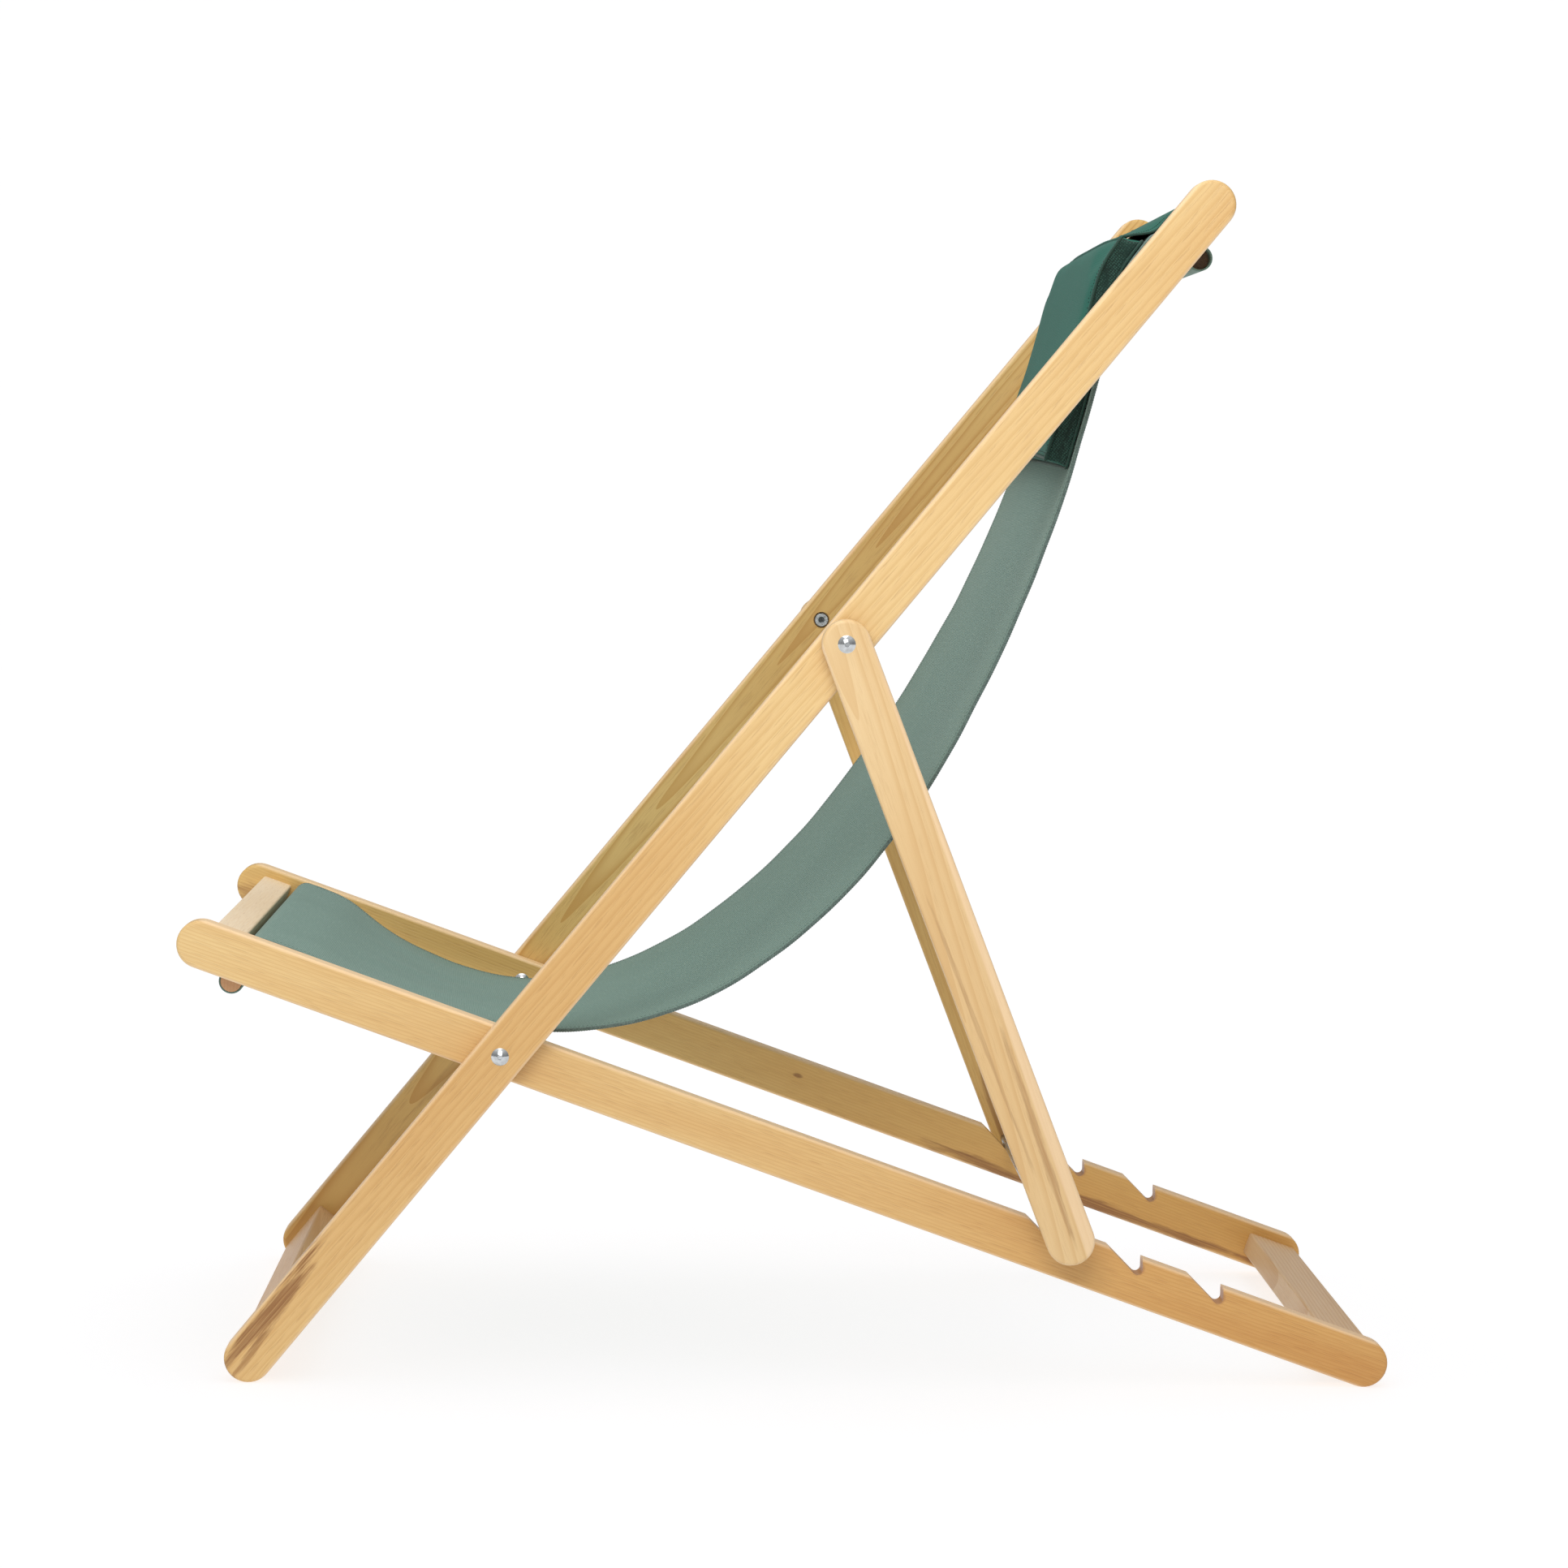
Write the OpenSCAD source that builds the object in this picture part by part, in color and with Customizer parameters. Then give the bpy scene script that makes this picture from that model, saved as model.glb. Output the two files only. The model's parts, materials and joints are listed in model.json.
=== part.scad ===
// Folding deck chair: three hinged wooden frames, a fabric sling and a headrest cushion.
// +X is the chair's width, -Y its front and +Z up. The floor is at Z = 0.

/* [Rails] */
// Width of every rail and strut, seen from the side
rail_w = 40; // [32:1:50]
// Thickness of every rail and strut
rail_t = 20; // [16:1:28]
// Radius that rounds the long edges of rails and struts
edge_r = 3; // [1:0.5:5]

/* [Chair] */
// Width over the outer faces of the prop struts
chair_w = 560; // [440:10:700]
// Gap between neighbouring rails, which a washer fills
rail_gap = 1; // [0.6:0.1:3]

/* [Back frame] */
// Main pivot to the centre of the round foot end
foot_reach = 325; // [290:5:400]
// Main pivot to the prop pivot
prop_pivot_reach = 441; // [400:1:480]
// Main pivot to the centre of the round head end
head_reach = 903; // [800:1:1100]

/* [Seat frame] */
// Main pivot to the centre of the round front end
seat_front = 262; // [220:1:280]
// Main pivot to the centre of the round rear end
seat_rear = 765; // [700:5:900]

/* [Notches] */
// Main pivot to the first notch, the most upright one
first_notch = 486.5; // [470:0.5:510]
// Distance from one notch to the next
notch_pitch = 72; // [60:1:80]
// Number of notches in each seat rail
notch_count = 3; // [1:1:3]
// Depth of the prop rod's centre below the rail's top edge
notch_depth = 10; // [8:0.5:14]
// Angle between a notch's lead-in slope and the rail
notch_slope = 26; // [20:1:40]
// Radial clearance of the prop rod in a notch
notch_clear = 0.3; // [0.1:0.1:1]
// The notch that the prop rod rests in
rest_notch = 1; // [1:1:3]

/* [Prop frame] */
// Prop pivot to the centre of the strut's round lower end
prop_reach = 524; // [510:1:540]
// Prop rod's centre past the centre of the strut's round end
rod_past = 4; // [0:0.5:5]
// Prop rod's centre in front of the strut's centreline
rod_offset = 9.5; // [0:0.5:10]
// Diameter of the steel prop rod
rod_d = 8; // [6:0.5:10]
// Depth of the blind hole that holds the rod in each strut
rod_hole_depth = 12; // [8:1:14]

/* [Crossbars] */
// Thickness of the foot and rear crossbars
crossbar_t = 20; // [14:1:24]
// Width of the foot crossbar
foot_bar_w = 52; // [40:1:52]
// Gap between the foot crossbar and the seat rails' swing
foot_bar_clear = 7; // [2:1:10]
// Set-back of the foot crossbar's middle behind the rail's centreline
foot_bar_set_back = 1; // [0:0.5:3]
// Width of the rear crossbar
rear_bar_w = 45; // [36:1:50]
// Overhang of the rear crossbar past the round end's centre
rear_bar_past = 12; // [6:1:14]
// Height of the rear crossbar's middle over the rail's centreline
rear_bar_rise = 0.5; // [0:0.5:3]
// Width of the slats at the front and the head
slat_w = 27; // [20:1:30]
// Thickness of the slats at the front and the head
slat_t = 24; // [16:1:26]
// Height of the slats' outer face over the rail's centreline
slat_rise = 11; // [6:1:15]
// Inset of the head slat from the centre of the rail's round end
head_slat_inset = 3; // [0:1:6]
// Inset of the front slat from the centre of the rail's round end
front_slat_inset = 2; // [0:1:6]
// Width of the bars that carry the sling
sling_bar_w = 46; // [36:1:50]
// Height of a sling bar's outer face over the rail's centreline
sling_bar_rise = 17.5; // [14:0.5:19]
// Radius of a sling bar's rounded outer corners
sling_bar_r = 9; // [4:1:12]
// Slot between a slat and the sling bar, which the sling drops through
sling_slot = 7; // [5:1:10]
// Radius that rounds the crossbars' long edges
bar_edge_r = 2; // [0.5:0.5:4]

/* [Pegs] */
// Diameter of the wooden pegs that join bars to rails
peg_d = 8; // [6:1:10]
// Depth of a peg in the rail
peg_in_rail = 14; // [10:1:15]
// Depth of a peg in the bar
peg_in_bar = 24; // [16:1:30]
// Distance between the two pegs of a crossbar's end
peg_spacing = 24; // [18:1:26]
// Distance between the two pegs of a slat's end
slat_peg_spacing = 12; // [10:1:14]
// Radial clearance of a peg in its hole
peg_clear = 0.05; // [0.02:0.01:0.1]

/* [Pivots] */
// Outside diameter of the sleeve nuts that the rails turn on
sleeve_d = 8; // [7:0.5:10]
// Diameter of the bolts inside the sleeve nuts
bolt_d = 6; // [5:0.5:6]
// Diameter of the bolt and sleeve nut heads
head_d = 14.6; // [12:0.2:16]
// Height of the domed heads
head_h = 3.2; // [2:0.2:5]
// Across flats of the hexagon socket in each head
socket_af = 4; // [3:0.5:5]
// Depth of the hexagon socket
socket_depth = 2; // [1:0.5:3]
// Radial running clearance of the pivots
pivot_clear = 0.06; // [0.02:0.01:0.1]
// Diameter of the recess for the prop pivot's nut head
recess_d = 15.2; // [14:0.2:18]
// Depth of that recess in the back rail's inner face
recess_depth = 3; // [2:0.5:5]
// Diameter of the prop pivot's nut head
nut_head_d = 13.2; // [11:0.2:13.8]
// Depth of that head below the rail's face
nut_head_inset = 0.5; // [0.2:0.1:1]
// Outside diameter of the washers
washer_d = 22; // [18:1:26]
// Side clearance of each washer in its gap
washer_clear = 0.05; // [0.02:0.01:0.2]

/* [Sling] */
// Side gap between the fabric and the seat rails
sling_side_gap = 4; // [2:0.5:30]
// Thickness of the fabric
sling_t = 1.6; // [1:0.1:3]
// Diameter of the dowels in the sling's hems
dowel_d = 17.6; // [14:0.2:20]
// Side gap between the front hem's dowel and the rails
dowel_side_gap = 3; // [1:0.5:10]
// Side gap between the head hem's dowel and the rails; it ends inside its pocket
head_dowel_side_gap = 18; // [1:0.5:40]
// Gap between the fabric and the wood that it passes over
fabric_gap = 0.3; // [0.3:0.1:1]
// Direction in which the sling leaves the front bar, in degrees below the horizontal
front_dip = 35; // [20:1:60]
// Pull of that direction on the sling's curve
front_pull = 425; // [250:5:470]
// Direction in which the sling reaches the head bar, in degrees above the horizontal
head_climb = 79; // [60:1:89]
// Pull of that direction on the sling's curve
head_pull = 355; // [250:5:450]

/* [Headrest] */
// Distance from the fabric's edge to the cushion's end
cushion_side_inset = 8; // [2:1:60]
// Length of the cushion down the sling
cushion_l = 190; // [120:5:260]
// Thickness of the cushion at its top edge
cushion_top_t = 14; // [10:1:30]
// Thickness of the cushion at its bottom edge
cushion_bottom_t = 36; // [20:1:50]
// How much of the head bar's width the cushion's top edge leaves free
cushion_on_bar = 20; // [5:1:40]
// Gap between the cushion and the sling under it
cushion_gap = 2; // [0.5:0.5:5]
// Thickness of the flap that hangs the cushion from the head slat
flap_t = 2.4; // [1.5:0.1:4]
// Length of the flap's free end past the head slat's underside
flap_tail = 5; // [2:1:30]

/* [Hidden] */
$fn = 64;

// How far each cut runs past the face that it opens.
cut = 1;

// Layers across the chair, from the outside in. Each is the distance from the middle plane.
prop_out = chair_w / 2;
prop_in = prop_out - rail_t;
back_out = prop_in - rail_gap;
back_in = back_out - rail_t;
seat_out = back_in - rail_gap;
seat_in = seat_out - rail_t;

// The triangle of main pivot, prop pivot and prop rod gives the angle between back and seat.
rest_along = first_notch + (rest_notch - 1) * notch_pitch;
rest_rise = rail_w / 2 - notch_depth;
rest_reach = norm([rest_along, rest_rise]);
rod_along = prop_reach + rod_past;
rod_reach = norm([rod_along, rod_offset]);
function corner_angle(a, b, opposite) = acos((a * a + b * b - opposite * opposite) / (2 * a * b));
open_angle = corner_angle(prop_pivot_reach, rest_reach, rod_reach) + atan2(rest_rise, rest_along);

// The foot end and the seat's rear end both stand on the floor.
floor_span = sqrt(foot_reach * foot_reach + seat_rear * seat_rear
    + 2 * foot_reach * seat_rear * cos(open_angle));
back_angle = asin(seat_rear * sin(open_angle) / floor_span);
seat_angle = -asin(foot_reach * sin(open_angle) / floor_span);

// The main pivot, with the chair's box centred front to back.
front_end = min(-seat_front * cos(seat_angle), -foot_reach * cos(back_angle)) - rail_w / 2;
rear_end = max(seat_rear * cos(seat_angle), head_reach * cos(back_angle)) + rail_w / 2;
main_pivot = [-(front_end + rear_end) / 2, foot_reach * sin(back_angle) + rail_w / 2];

function direction(angle) = [cos(angle), sin(angle)];
function in_frame(angle, along, rise) = along * direction(angle) + rise * direction(angle + 90);

prop_pivot = main_pivot + in_frame(back_angle, prop_pivot_reach, 0);
rod_centre = main_pivot + in_frame(seat_angle, rest_along, rest_rise);
to_rod = rod_centre - prop_pivot;
prop_angle = atan2(to_rod[1], to_rod[0]) + asin(rod_offset / rod_reach);

// Places along the back frame, from the main pivot up.
foot_bar_top = -(seat_front + rail_w / 2 + foot_bar_clear);
head_slat_end = head_reach - head_slat_inset;
head_slot = head_slat_end - slat_w - sling_slot / 2;
head_bar_end = head_slot - sling_slot / 2;

// Places along the seat frame, from the main pivot back.
front_slat_end = -(seat_front - front_slat_inset);
front_slot = front_slat_end + slat_w + sling_slot / 2;
front_bar_end = front_slot + sling_slot / 2;
rear_bar_end = seat_rear + rear_bar_past;

// The hem dowel is too thick for the slot, and hangs against the two bars below it.
loop_r = dowel_d / 2 + fabric_gap + sling_t;
dowel_drop = slat_t - slat_rise + sqrt(loop_r * loop_r - sling_slot * sling_slot / 4) + fabric_gap;
front_dowel_l = 2 * (seat_in - dowel_side_gap);
head_dowel_l = 2 * (seat_in - head_dowel_side_gap);
sling_w = 2 * (seat_in - sling_side_gap);
cushion_w = sling_w - 2 * cushion_side_inset;
hex_d = socket_af / cos(30);

// Draws in a frame's own plane: x runs along the rail, y is its upper side, z is world X.
module in_plane(point, angle)
    translate([0, point[0], point[1]])
        rotate([angle, 0, 0])
            rotate([90, 0, 90])
                children();

module back_plane() in_plane(main_pivot, back_angle) children();
module seat_plane() in_plane(main_pivot, seat_angle) children();
module prop_plane() in_plane(prop_pivot, prop_angle) children();

// Draws on the right side and again on the left.
module both_sides() {
    children();
    mirror([1, 0, 0]) children();
}

// A rectangle from x0 to x1 and y0 to y1 with round corners.
module round_rect(x0, x1, y0, y1, r) {
    translate([x0 + r, y0]) square([x1 - x0 - 2 * r, y1 - y0]);
    translate([x0, y0 + r]) square([x1 - x0, y1 - y0 - 2 * r]);
    for (x = [x0 + r, x1 - r], y = [y0 + r, y1 - r]) translate([x, y]) circle(r, $fn = 32);
}

// Right half of a rail's section, for turning a round end.
module half_section()
    intersection() {
        round_rect(-rail_w / 2, rail_w / 2, 0, rail_t, edge_r);
        square([rail_w, rail_t]);
    }

// A rail from x = -low to x = high with half-round ends, standing on z = 0.
module rail_blank(low, high) {
    translate([-low, 0, 0])
        rotate([90, 0, 90])
            linear_extrude(low + high)
                round_rect(-rail_w / 2, rail_w / 2, 0, rail_t, edge_r);
    translate([high, 0, 0]) rotate([0, 0, -90]) rotate_extrude(angle = 180) half_section();
    translate([-low, 0, 0]) rotate([0, 0, 90]) rotate_extrude(angle = 180) half_section();
}

// A hole through a rail that stands on z = 0.
module through_hole(x, y, d) translate([x, y, -cut]) cylinder(h = rail_t + 2 * cut, d = d);

// The two peg holes of a bar's end, at x and centred on y, `spread` apart along x.
module peg_pair(x, y, spread, z, h, d)
    for (side = [-1, 1])
        translate([x + side * spread / 2, y, z]) cylinder(h = h, d = d, $fn = 32);

peg_hole_d = peg_d + 2 * peg_clear;

// Every bar in a frame: middle along the rail, middle of its thickness, and peg spacing.
foot_bar_mid = [foot_bar_top - foot_bar_w / 2, -foot_bar_set_back];
head_slat_mid = [head_slat_end - slat_w / 2, slat_rise - slat_t / 2];
head_bar_mid = [head_bar_end - sling_bar_w / 2, slat_rise - slat_t / 2];
front_slat_mid = [front_slat_end + slat_w / 2, slat_rise - slat_t / 2];
front_bar_mid = [front_bar_end + sling_bar_w / 2, slat_rise - slat_t / 2];
rear_bar_mid = [rear_bar_end - rear_bar_w / 2, rear_bar_rise];
back_joints = [
    [foot_bar_mid, peg_spacing],
    [head_slat_mid, slat_peg_spacing],
    [head_bar_mid, peg_spacing]
];
seat_joints = [
    [front_slat_mid, slat_peg_spacing],
    [front_bar_mid, peg_spacing],
    [rear_bar_mid, peg_spacing]
];

// Holes in a rail's inner face, and the matching pegs between inner faces `inner` from the middle.
module rail_peg_holes(joints)
    for (j = joints)
        peg_pair(j[0][0], j[0][1], j[1], -cut, peg_in_rail + cut + 2 * peg_clear, peg_hole_d);

module pegs(joints, inner)
    for (j = joints, side = [-1, 1])
        peg_pair(j[0][0], j[0][1], j[1],
            side > 0 ? inner - peg_in_bar : -inner - peg_in_rail, peg_in_bar + peg_in_rail, peg_d);

module bar_peg_holes(mid, spread, inner)
    for (z = [-inner - cut, inner - peg_in_bar - 2 * peg_clear])
        peg_pair(mid[0], mid[1], spread, z, peg_in_bar + cut + 2 * peg_clear, peg_hole_d);

// A bar between two inner faces, from x0 to x1 and from y0 to y1 of the frame's plane.
module bar(x0, x1, y0, y1, inner, mid, spread, r)
    difference() {
        translate([0, 0, -inner]) linear_extrude(2 * inner) round_rect(x0, x1, y0, y1, r);
        bar_peg_holes(mid, spread, inner);
    }

// A sling bar: flat below, with a large radius on both outer corners.
module sling_bar(x0, inner, mid) {
    low = slat_rise - slat_t;
    high = sling_bar_rise;
    difference() {
        translate([0, 0, -inner])
            linear_extrude(2 * inner) {
                translate([x0, low]) square([sling_bar_w, high - low - sling_bar_r]);
                translate([x0 + sling_bar_r, low]) square([sling_bar_w - 2 * sling_bar_r, high - low]);
                for (x = [x0 + sling_bar_r, x0 + sling_bar_w - sling_bar_r])
                    translate([x, high - sling_bar_r]) circle(sling_bar_r);
            }
        bar_peg_holes(mid, peg_spacing, inner);
    }
}

module back_rail()
    translate([0, 0, back_in])
        difference() {
            rail_blank(foot_reach, head_reach);
            through_hole(0, 0, sleeve_d + 2 * pivot_clear);
            through_hole(prop_pivot_reach, 0, sleeve_d + 2 * pivot_clear);
            translate([prop_pivot_reach, 0, -cut]) cylinder(h = recess_depth + cut, d = recess_d);
            rail_peg_holes(back_joints);
        }

// One notch: a round seat for the rod, an upright rear wall and a lead-in slope.
module notch(along) {
    seat_r = rod_d / 2 + notch_clear;
    top = rail_w / 2 + cut;
    lean = -seat_angle;
    wall = seat_r * direction(lean);
    wall_top = wall + (top - rest_rise - wall[1]) / cos(lean) * direction(lean + 90);
    slope = seat_r * direction(-notch_slope - 90);
    slope_top = slope + (top - rest_rise - slope[1]) / sin(notch_slope) * direction(180 - notch_slope);
    translate([along, rest_rise, -cut])
        linear_extrude(rail_t + 2 * cut) {
            circle(seat_r);
            polygon([[0, 0], slope, slope_top, wall_top, wall]);
        }
}

module seat_rail()
    translate([0, 0, seat_in])
        difference() {
            rail_blank(seat_front, seat_rear);
            through_hole(0, 0, sleeve_d + 2 * pivot_clear);
            for (i = [0 : notch_count - 1]) notch(first_notch + i * notch_pitch);
            rail_peg_holes(seat_joints);
        }

module prop_strut()
    translate([0, 0, prop_in])
        difference() {
            rail_blank(0, prop_reach);
            through_hole(0, 0, sleeve_d + 2 * pivot_clear);
            translate([rod_along, -rod_offset, -cut])
                cylinder(h = rod_hole_depth + cut, d = rod_d + 2 * pivot_clear);
        }

module back_rail_right() color("burlywood") back_plane() back_rail();
module back_rail_left() mirror([1, 0, 0]) back_rail_right();
module seat_rail_right() color("tan") seat_plane() seat_rail();
module seat_rail_left() mirror([1, 0, 0]) seat_rail_right();
module prop_strut_right() color("wheat") prop_plane() prop_strut();
module prop_strut_left() mirror([1, 0, 0]) prop_strut_right();

module foot_crossbar()
    color("burlywood")
        back_plane()
            bar(foot_bar_top - foot_bar_w, foot_bar_top, foot_bar_mid[1] - crossbar_t / 2,
                foot_bar_mid[1] + crossbar_t / 2, back_in, foot_bar_mid, peg_spacing, bar_edge_r);

module head_slat()
    color("wheat")
        back_plane()
            bar(head_slat_end - slat_w, head_slat_end, slat_rise - slat_t, slat_rise,
                back_in, head_slat_mid, slat_peg_spacing, bar_edge_r);

module head_sling_bar()
    color("wheat") back_plane() sling_bar(head_bar_end - sling_bar_w, back_in, head_bar_mid);

module back_pegs() color("peru") back_plane() pegs(back_joints, back_in);

module front_slat()
    color("wheat")
        seat_plane()
            bar(front_slat_end, front_slat_end + slat_w, slat_rise - slat_t, slat_rise,
                seat_in, front_slat_mid, slat_peg_spacing, bar_edge_r);

module front_sling_bar() color("wheat") seat_plane() sling_bar(front_bar_end, seat_in, front_bar_mid);

module rear_crossbar()
    color("wheat")
        seat_plane()
            bar(rear_bar_end - rear_bar_w, rear_bar_end, rear_bar_mid[1] - crossbar_t / 2,
                rear_bar_mid[1] + crossbar_t / 2, seat_in, rear_bar_mid, peg_spacing, bar_edge_r);

module seat_pegs() color("peru") seat_plane() pegs(seat_joints, seat_in);

// A hem dowel under a slot.
module hem_dowel(along, length)
    translate([along, -dowel_drop, -length / 2]) cylinder(h = length, d = dowel_d);

module head_dowel() color("peru") back_plane() hem_dowel(head_slot, head_dowel_l);
module front_dowel() color("peru") seat_plane() hem_dowel(front_slot, front_dowel_l);

module prop_rod()
    color("silver")
        prop_plane()
            translate([rod_along, -rod_offset, -prop_in - rod_hole_depth + pivot_clear])
                cylinder(h = 2 * (prop_in + rod_hole_depth - pivot_clear), d = rod_d);

// A domed head on z = 0 with a hexagon socket, as on the bolts and the sleeve nuts.
module domed_head() {
    dome_r = (head_d * head_d / 4 + head_h * head_h) / (2 * head_h);
    difference() {
        rotate_extrude()
            intersection() {
                translate([0, head_h - dome_r]) circle(dome_r, $fn = 128);
                square([head_d / 2, head_h]);
            }
        translate([0, 0, head_h - socket_depth]) cylinder(h = socket_depth + cut, d = hex_d, $fn = 6);
    }
}

// A bolt whose head sits on z = face and whose shank ends at z = tip.
module bolt(face, tip) {
    translate([0, 0, face]) domed_head();
    translate([0, 0, tip]) cylinder(h = face - tip, d = bolt_d);
}

// A sleeve from z = start to z = end, bored for the bolt.
module sleeve(start, end)
    difference() {
        translate([0, 0, start]) cylinder(h = end - start, d = sleeve_d);
        translate([0, 0, start - cut])
            cylinder(h = end - start + 2 * cut, d = bolt_d + 2 * pivot_clear);
    }

module main_pivot_bolts()
    color("gainsboro")
        both_sides()
            back_plane()
                bolt(back_out, seat_in);

module main_pivot_nuts()
    color("gainsboro")
        both_sides()
            back_plane() {
                translate([0, 0, seat_in]) mirror([0, 0, 1]) domed_head();
                sleeve(seat_in, back_out - rail_gap);
            }

module prop_pivot_bolts()
    color("gainsboro")
        both_sides()
            back_plane()
                translate([prop_pivot_reach, 0, 0])
                    bolt(prop_out, back_in + recess_depth);

module prop_pivot_nuts()
    color("gainsboro")
        both_sides()
            back_plane()
                translate([prop_pivot_reach, 0, 0]) {
                    translate([0, 0, back_in + nut_head_inset])
                        cylinder(h = recess_depth - nut_head_inset, d = nut_head_d);
                    sleeve(back_in + recess_depth, prop_out - rail_gap);
                }

// A thin washer that fills the gap above z = low.
module washer(low)
    translate([0, 0, low + washer_clear])
        difference() {
            cylinder(h = rail_gap - 2 * washer_clear, d = washer_d);
            translate([0, 0, -cut]) cylinder(h = rail_gap + 2 * cut, d = sleeve_d + 2 * pivot_clear);
        }

module main_pivot_washers() color("white") both_sides() back_plane() washer(seat_out);

module prop_pivot_washers()
    color("white")
        both_sides()
            back_plane()
                translate([prop_pivot_reach, 0, 0])
                    washer(back_out);

// Outline of the fabric at one end: over the bar, through the slot and round the dowel.
// It is drawn for the front, with the slot's centre at x = 0 and the bar on its right.
module hem_outline() {
    bar_x = sling_slot / 2;
    corner = [bar_x + sling_bar_r, sling_bar_rise - sling_bar_r];
    inner_r = sling_bar_r + fabric_gap;
    outer_r = inner_r + sling_t;
    strip_x = bar_x - fabric_gap - sling_t;
    loop_top = -dowel_drop + loop_r;
    difference() {
        translate([0, -dowel_drop]) circle(loop_r);
        translate([0, -dowel_drop]) circle(loop_r - sling_t);
    }
    translate([strip_x, loop_top - sling_t]) square([sling_t, corner[1] - loop_top + sling_t]);
    intersection() {
        difference() {
            translate(corner) circle(outer_r);
            translate(corner) circle(inner_r);
        }
        translate([corner[0] - outer_r, corner[1]]) square(outer_r);
    }
    translate([corner[0], sling_bar_rise + fabric_gap])
        square([sling_bar_w - sling_bar_r, sling_t]);
}

// The sling's free curve: a cubic Bezier from the front bar to the head bar.
web_start = main_pivot + in_frame(seat_angle, front_bar_end + sling_bar_w,
    sling_bar_rise + fabric_gap + sling_t / 2);
web_end = main_pivot + in_frame(back_angle, head_bar_end - sling_bar_w,
    sling_bar_rise + fabric_gap + sling_t / 2);
web_pull_in = web_start + front_pull * direction(-front_dip);
web_pull_out = web_end - head_pull * direction(head_climb);
function web_point(t) = pow(1 - t, 3) * web_start + 3 * pow(1 - t, 2) * t * web_pull_in
    + 3 * (1 - t) * t * t * web_pull_out + pow(t, 3) * web_end;
function web_slope(t) = 3 * (1 - t) * (1 - t) * (web_pull_in - web_start)
    + 6 * (1 - t) * t * (web_pull_out - web_pull_in) + 3 * t * t * (web_end - web_pull_out);
function web_heading(t) = atan2(web_slope(t)[1], web_slope(t)[0]);
web_steps = 32;
function web_side(side) = [
    for (i = [0 : web_steps]) let (t = i / web_steps)
        web_point(t) + side * sling_t / 2 * direction(web_heading(t) + 90)
];
function reversed(list) = [for (i = [len(list) - 1 : -1 : 0]) list[i]];

module sling_outline() {
    polygon(concat(web_side(-1), reversed(web_side(1))));
    translate(main_pivot) rotate(seat_angle) translate([front_slot, 0]) hem_outline();
    translate(main_pivot) rotate(back_angle) translate([head_slot, 0]) mirror([1, 0]) hem_outline();
}

module sling()
    color("cadetblue")
        rotate([90, 0, 90])
            translate([0, 0, -sling_w / 2])
                linear_extrude(sling_w)
                    sling_outline();

// The cushion lies on the sling, from the head bar down. Its back is a list of [point, heading].
cushion_start = web_end + (sling_bar_w - cushion_on_bar) * direction(back_angle);
cushion_end_t = 1 - (cushion_l - sling_bar_w + cushion_on_bar) / norm(web_slope(1));
cushion_steps = 10;
cushion_line = concat(
    [[cushion_start, back_angle]],
    [for (i = [0 : cushion_steps]) let (t = 1 + (cushion_end_t - 1) * i / cushion_steps)
        [web_point(t), web_heading(t)]]
);
cushion_lift = sling_t / 2 + cushion_gap;
function cushion_face(i, extra) = let (place = cushion_line[i])
    place[0] + (cushion_lift + extra) * direction(place[1] + 90);
function cushion_thick(i) = let (share = i / (len(cushion_line) - 1))
    cushion_top_t + (cushion_bottom_t - cushion_top_t) * share;

module headrest_cushion()
    color("darkgreen")
        rotate([90, 0, 90])
            translate([0, 0, -cushion_w / 2])
                linear_extrude(cushion_w)
                    polygon(concat(
                        [for (i = [0 : len(cushion_line) - 1]) cushion_face(i, 0)],
                        [for (i = [len(cushion_line) - 1 : -1 : 0]) cushion_face(i, cushion_thick(i))]
                    ));

// The flap runs from the cushion's top edge over the head slat and hangs behind it.
module flap_outline() {
    start = [
        head_bar_end - cushion_on_bar + fabric_gap,
        sling_bar_rise + fabric_gap + sling_t + cushion_gap + cushion_top_t
    ];
    edge = [head_slat_end + fabric_gap, slat_rise + fabric_gap];
    polygon([
        start,
        edge + [flap_t, flap_t],
        [edge[0] + flap_t, slat_rise - slat_t - flap_tail],
        [edge[0], slat_rise - slat_t - flap_tail],
        edge,
        start - [0, flap_t]
    ]);
}

module headrest_flap()
    color("darkgreen")
        back_plane()
            translate([0, 0, -cushion_w / 2])
                linear_extrude(cushion_w)
                    flap_outline();

back_rail_left();
back_rail_right();
head_slat();
head_sling_bar();
foot_crossbar();
back_pegs();
head_dowel();
seat_rail_left();
seat_rail_right();
front_slat();
front_sling_bar();
rear_crossbar();
seat_pegs();
front_dowel();
prop_strut_left();
prop_strut_right();
prop_rod();
main_pivot_bolts();
main_pivot_nuts();
main_pivot_washers();
prop_pivot_bolts();
prop_pivot_nuts();
prop_pivot_washers();
sling();
headrest_cushion();
headrest_flap();
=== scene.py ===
"""The looks of a folding deck chair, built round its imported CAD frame.

Metres, +Z up, -Y the chair's front. The camera stands on the chair's +X side.
"""
import json
import math
from bisect import bisect_right
from collections import namedtuple

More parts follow.
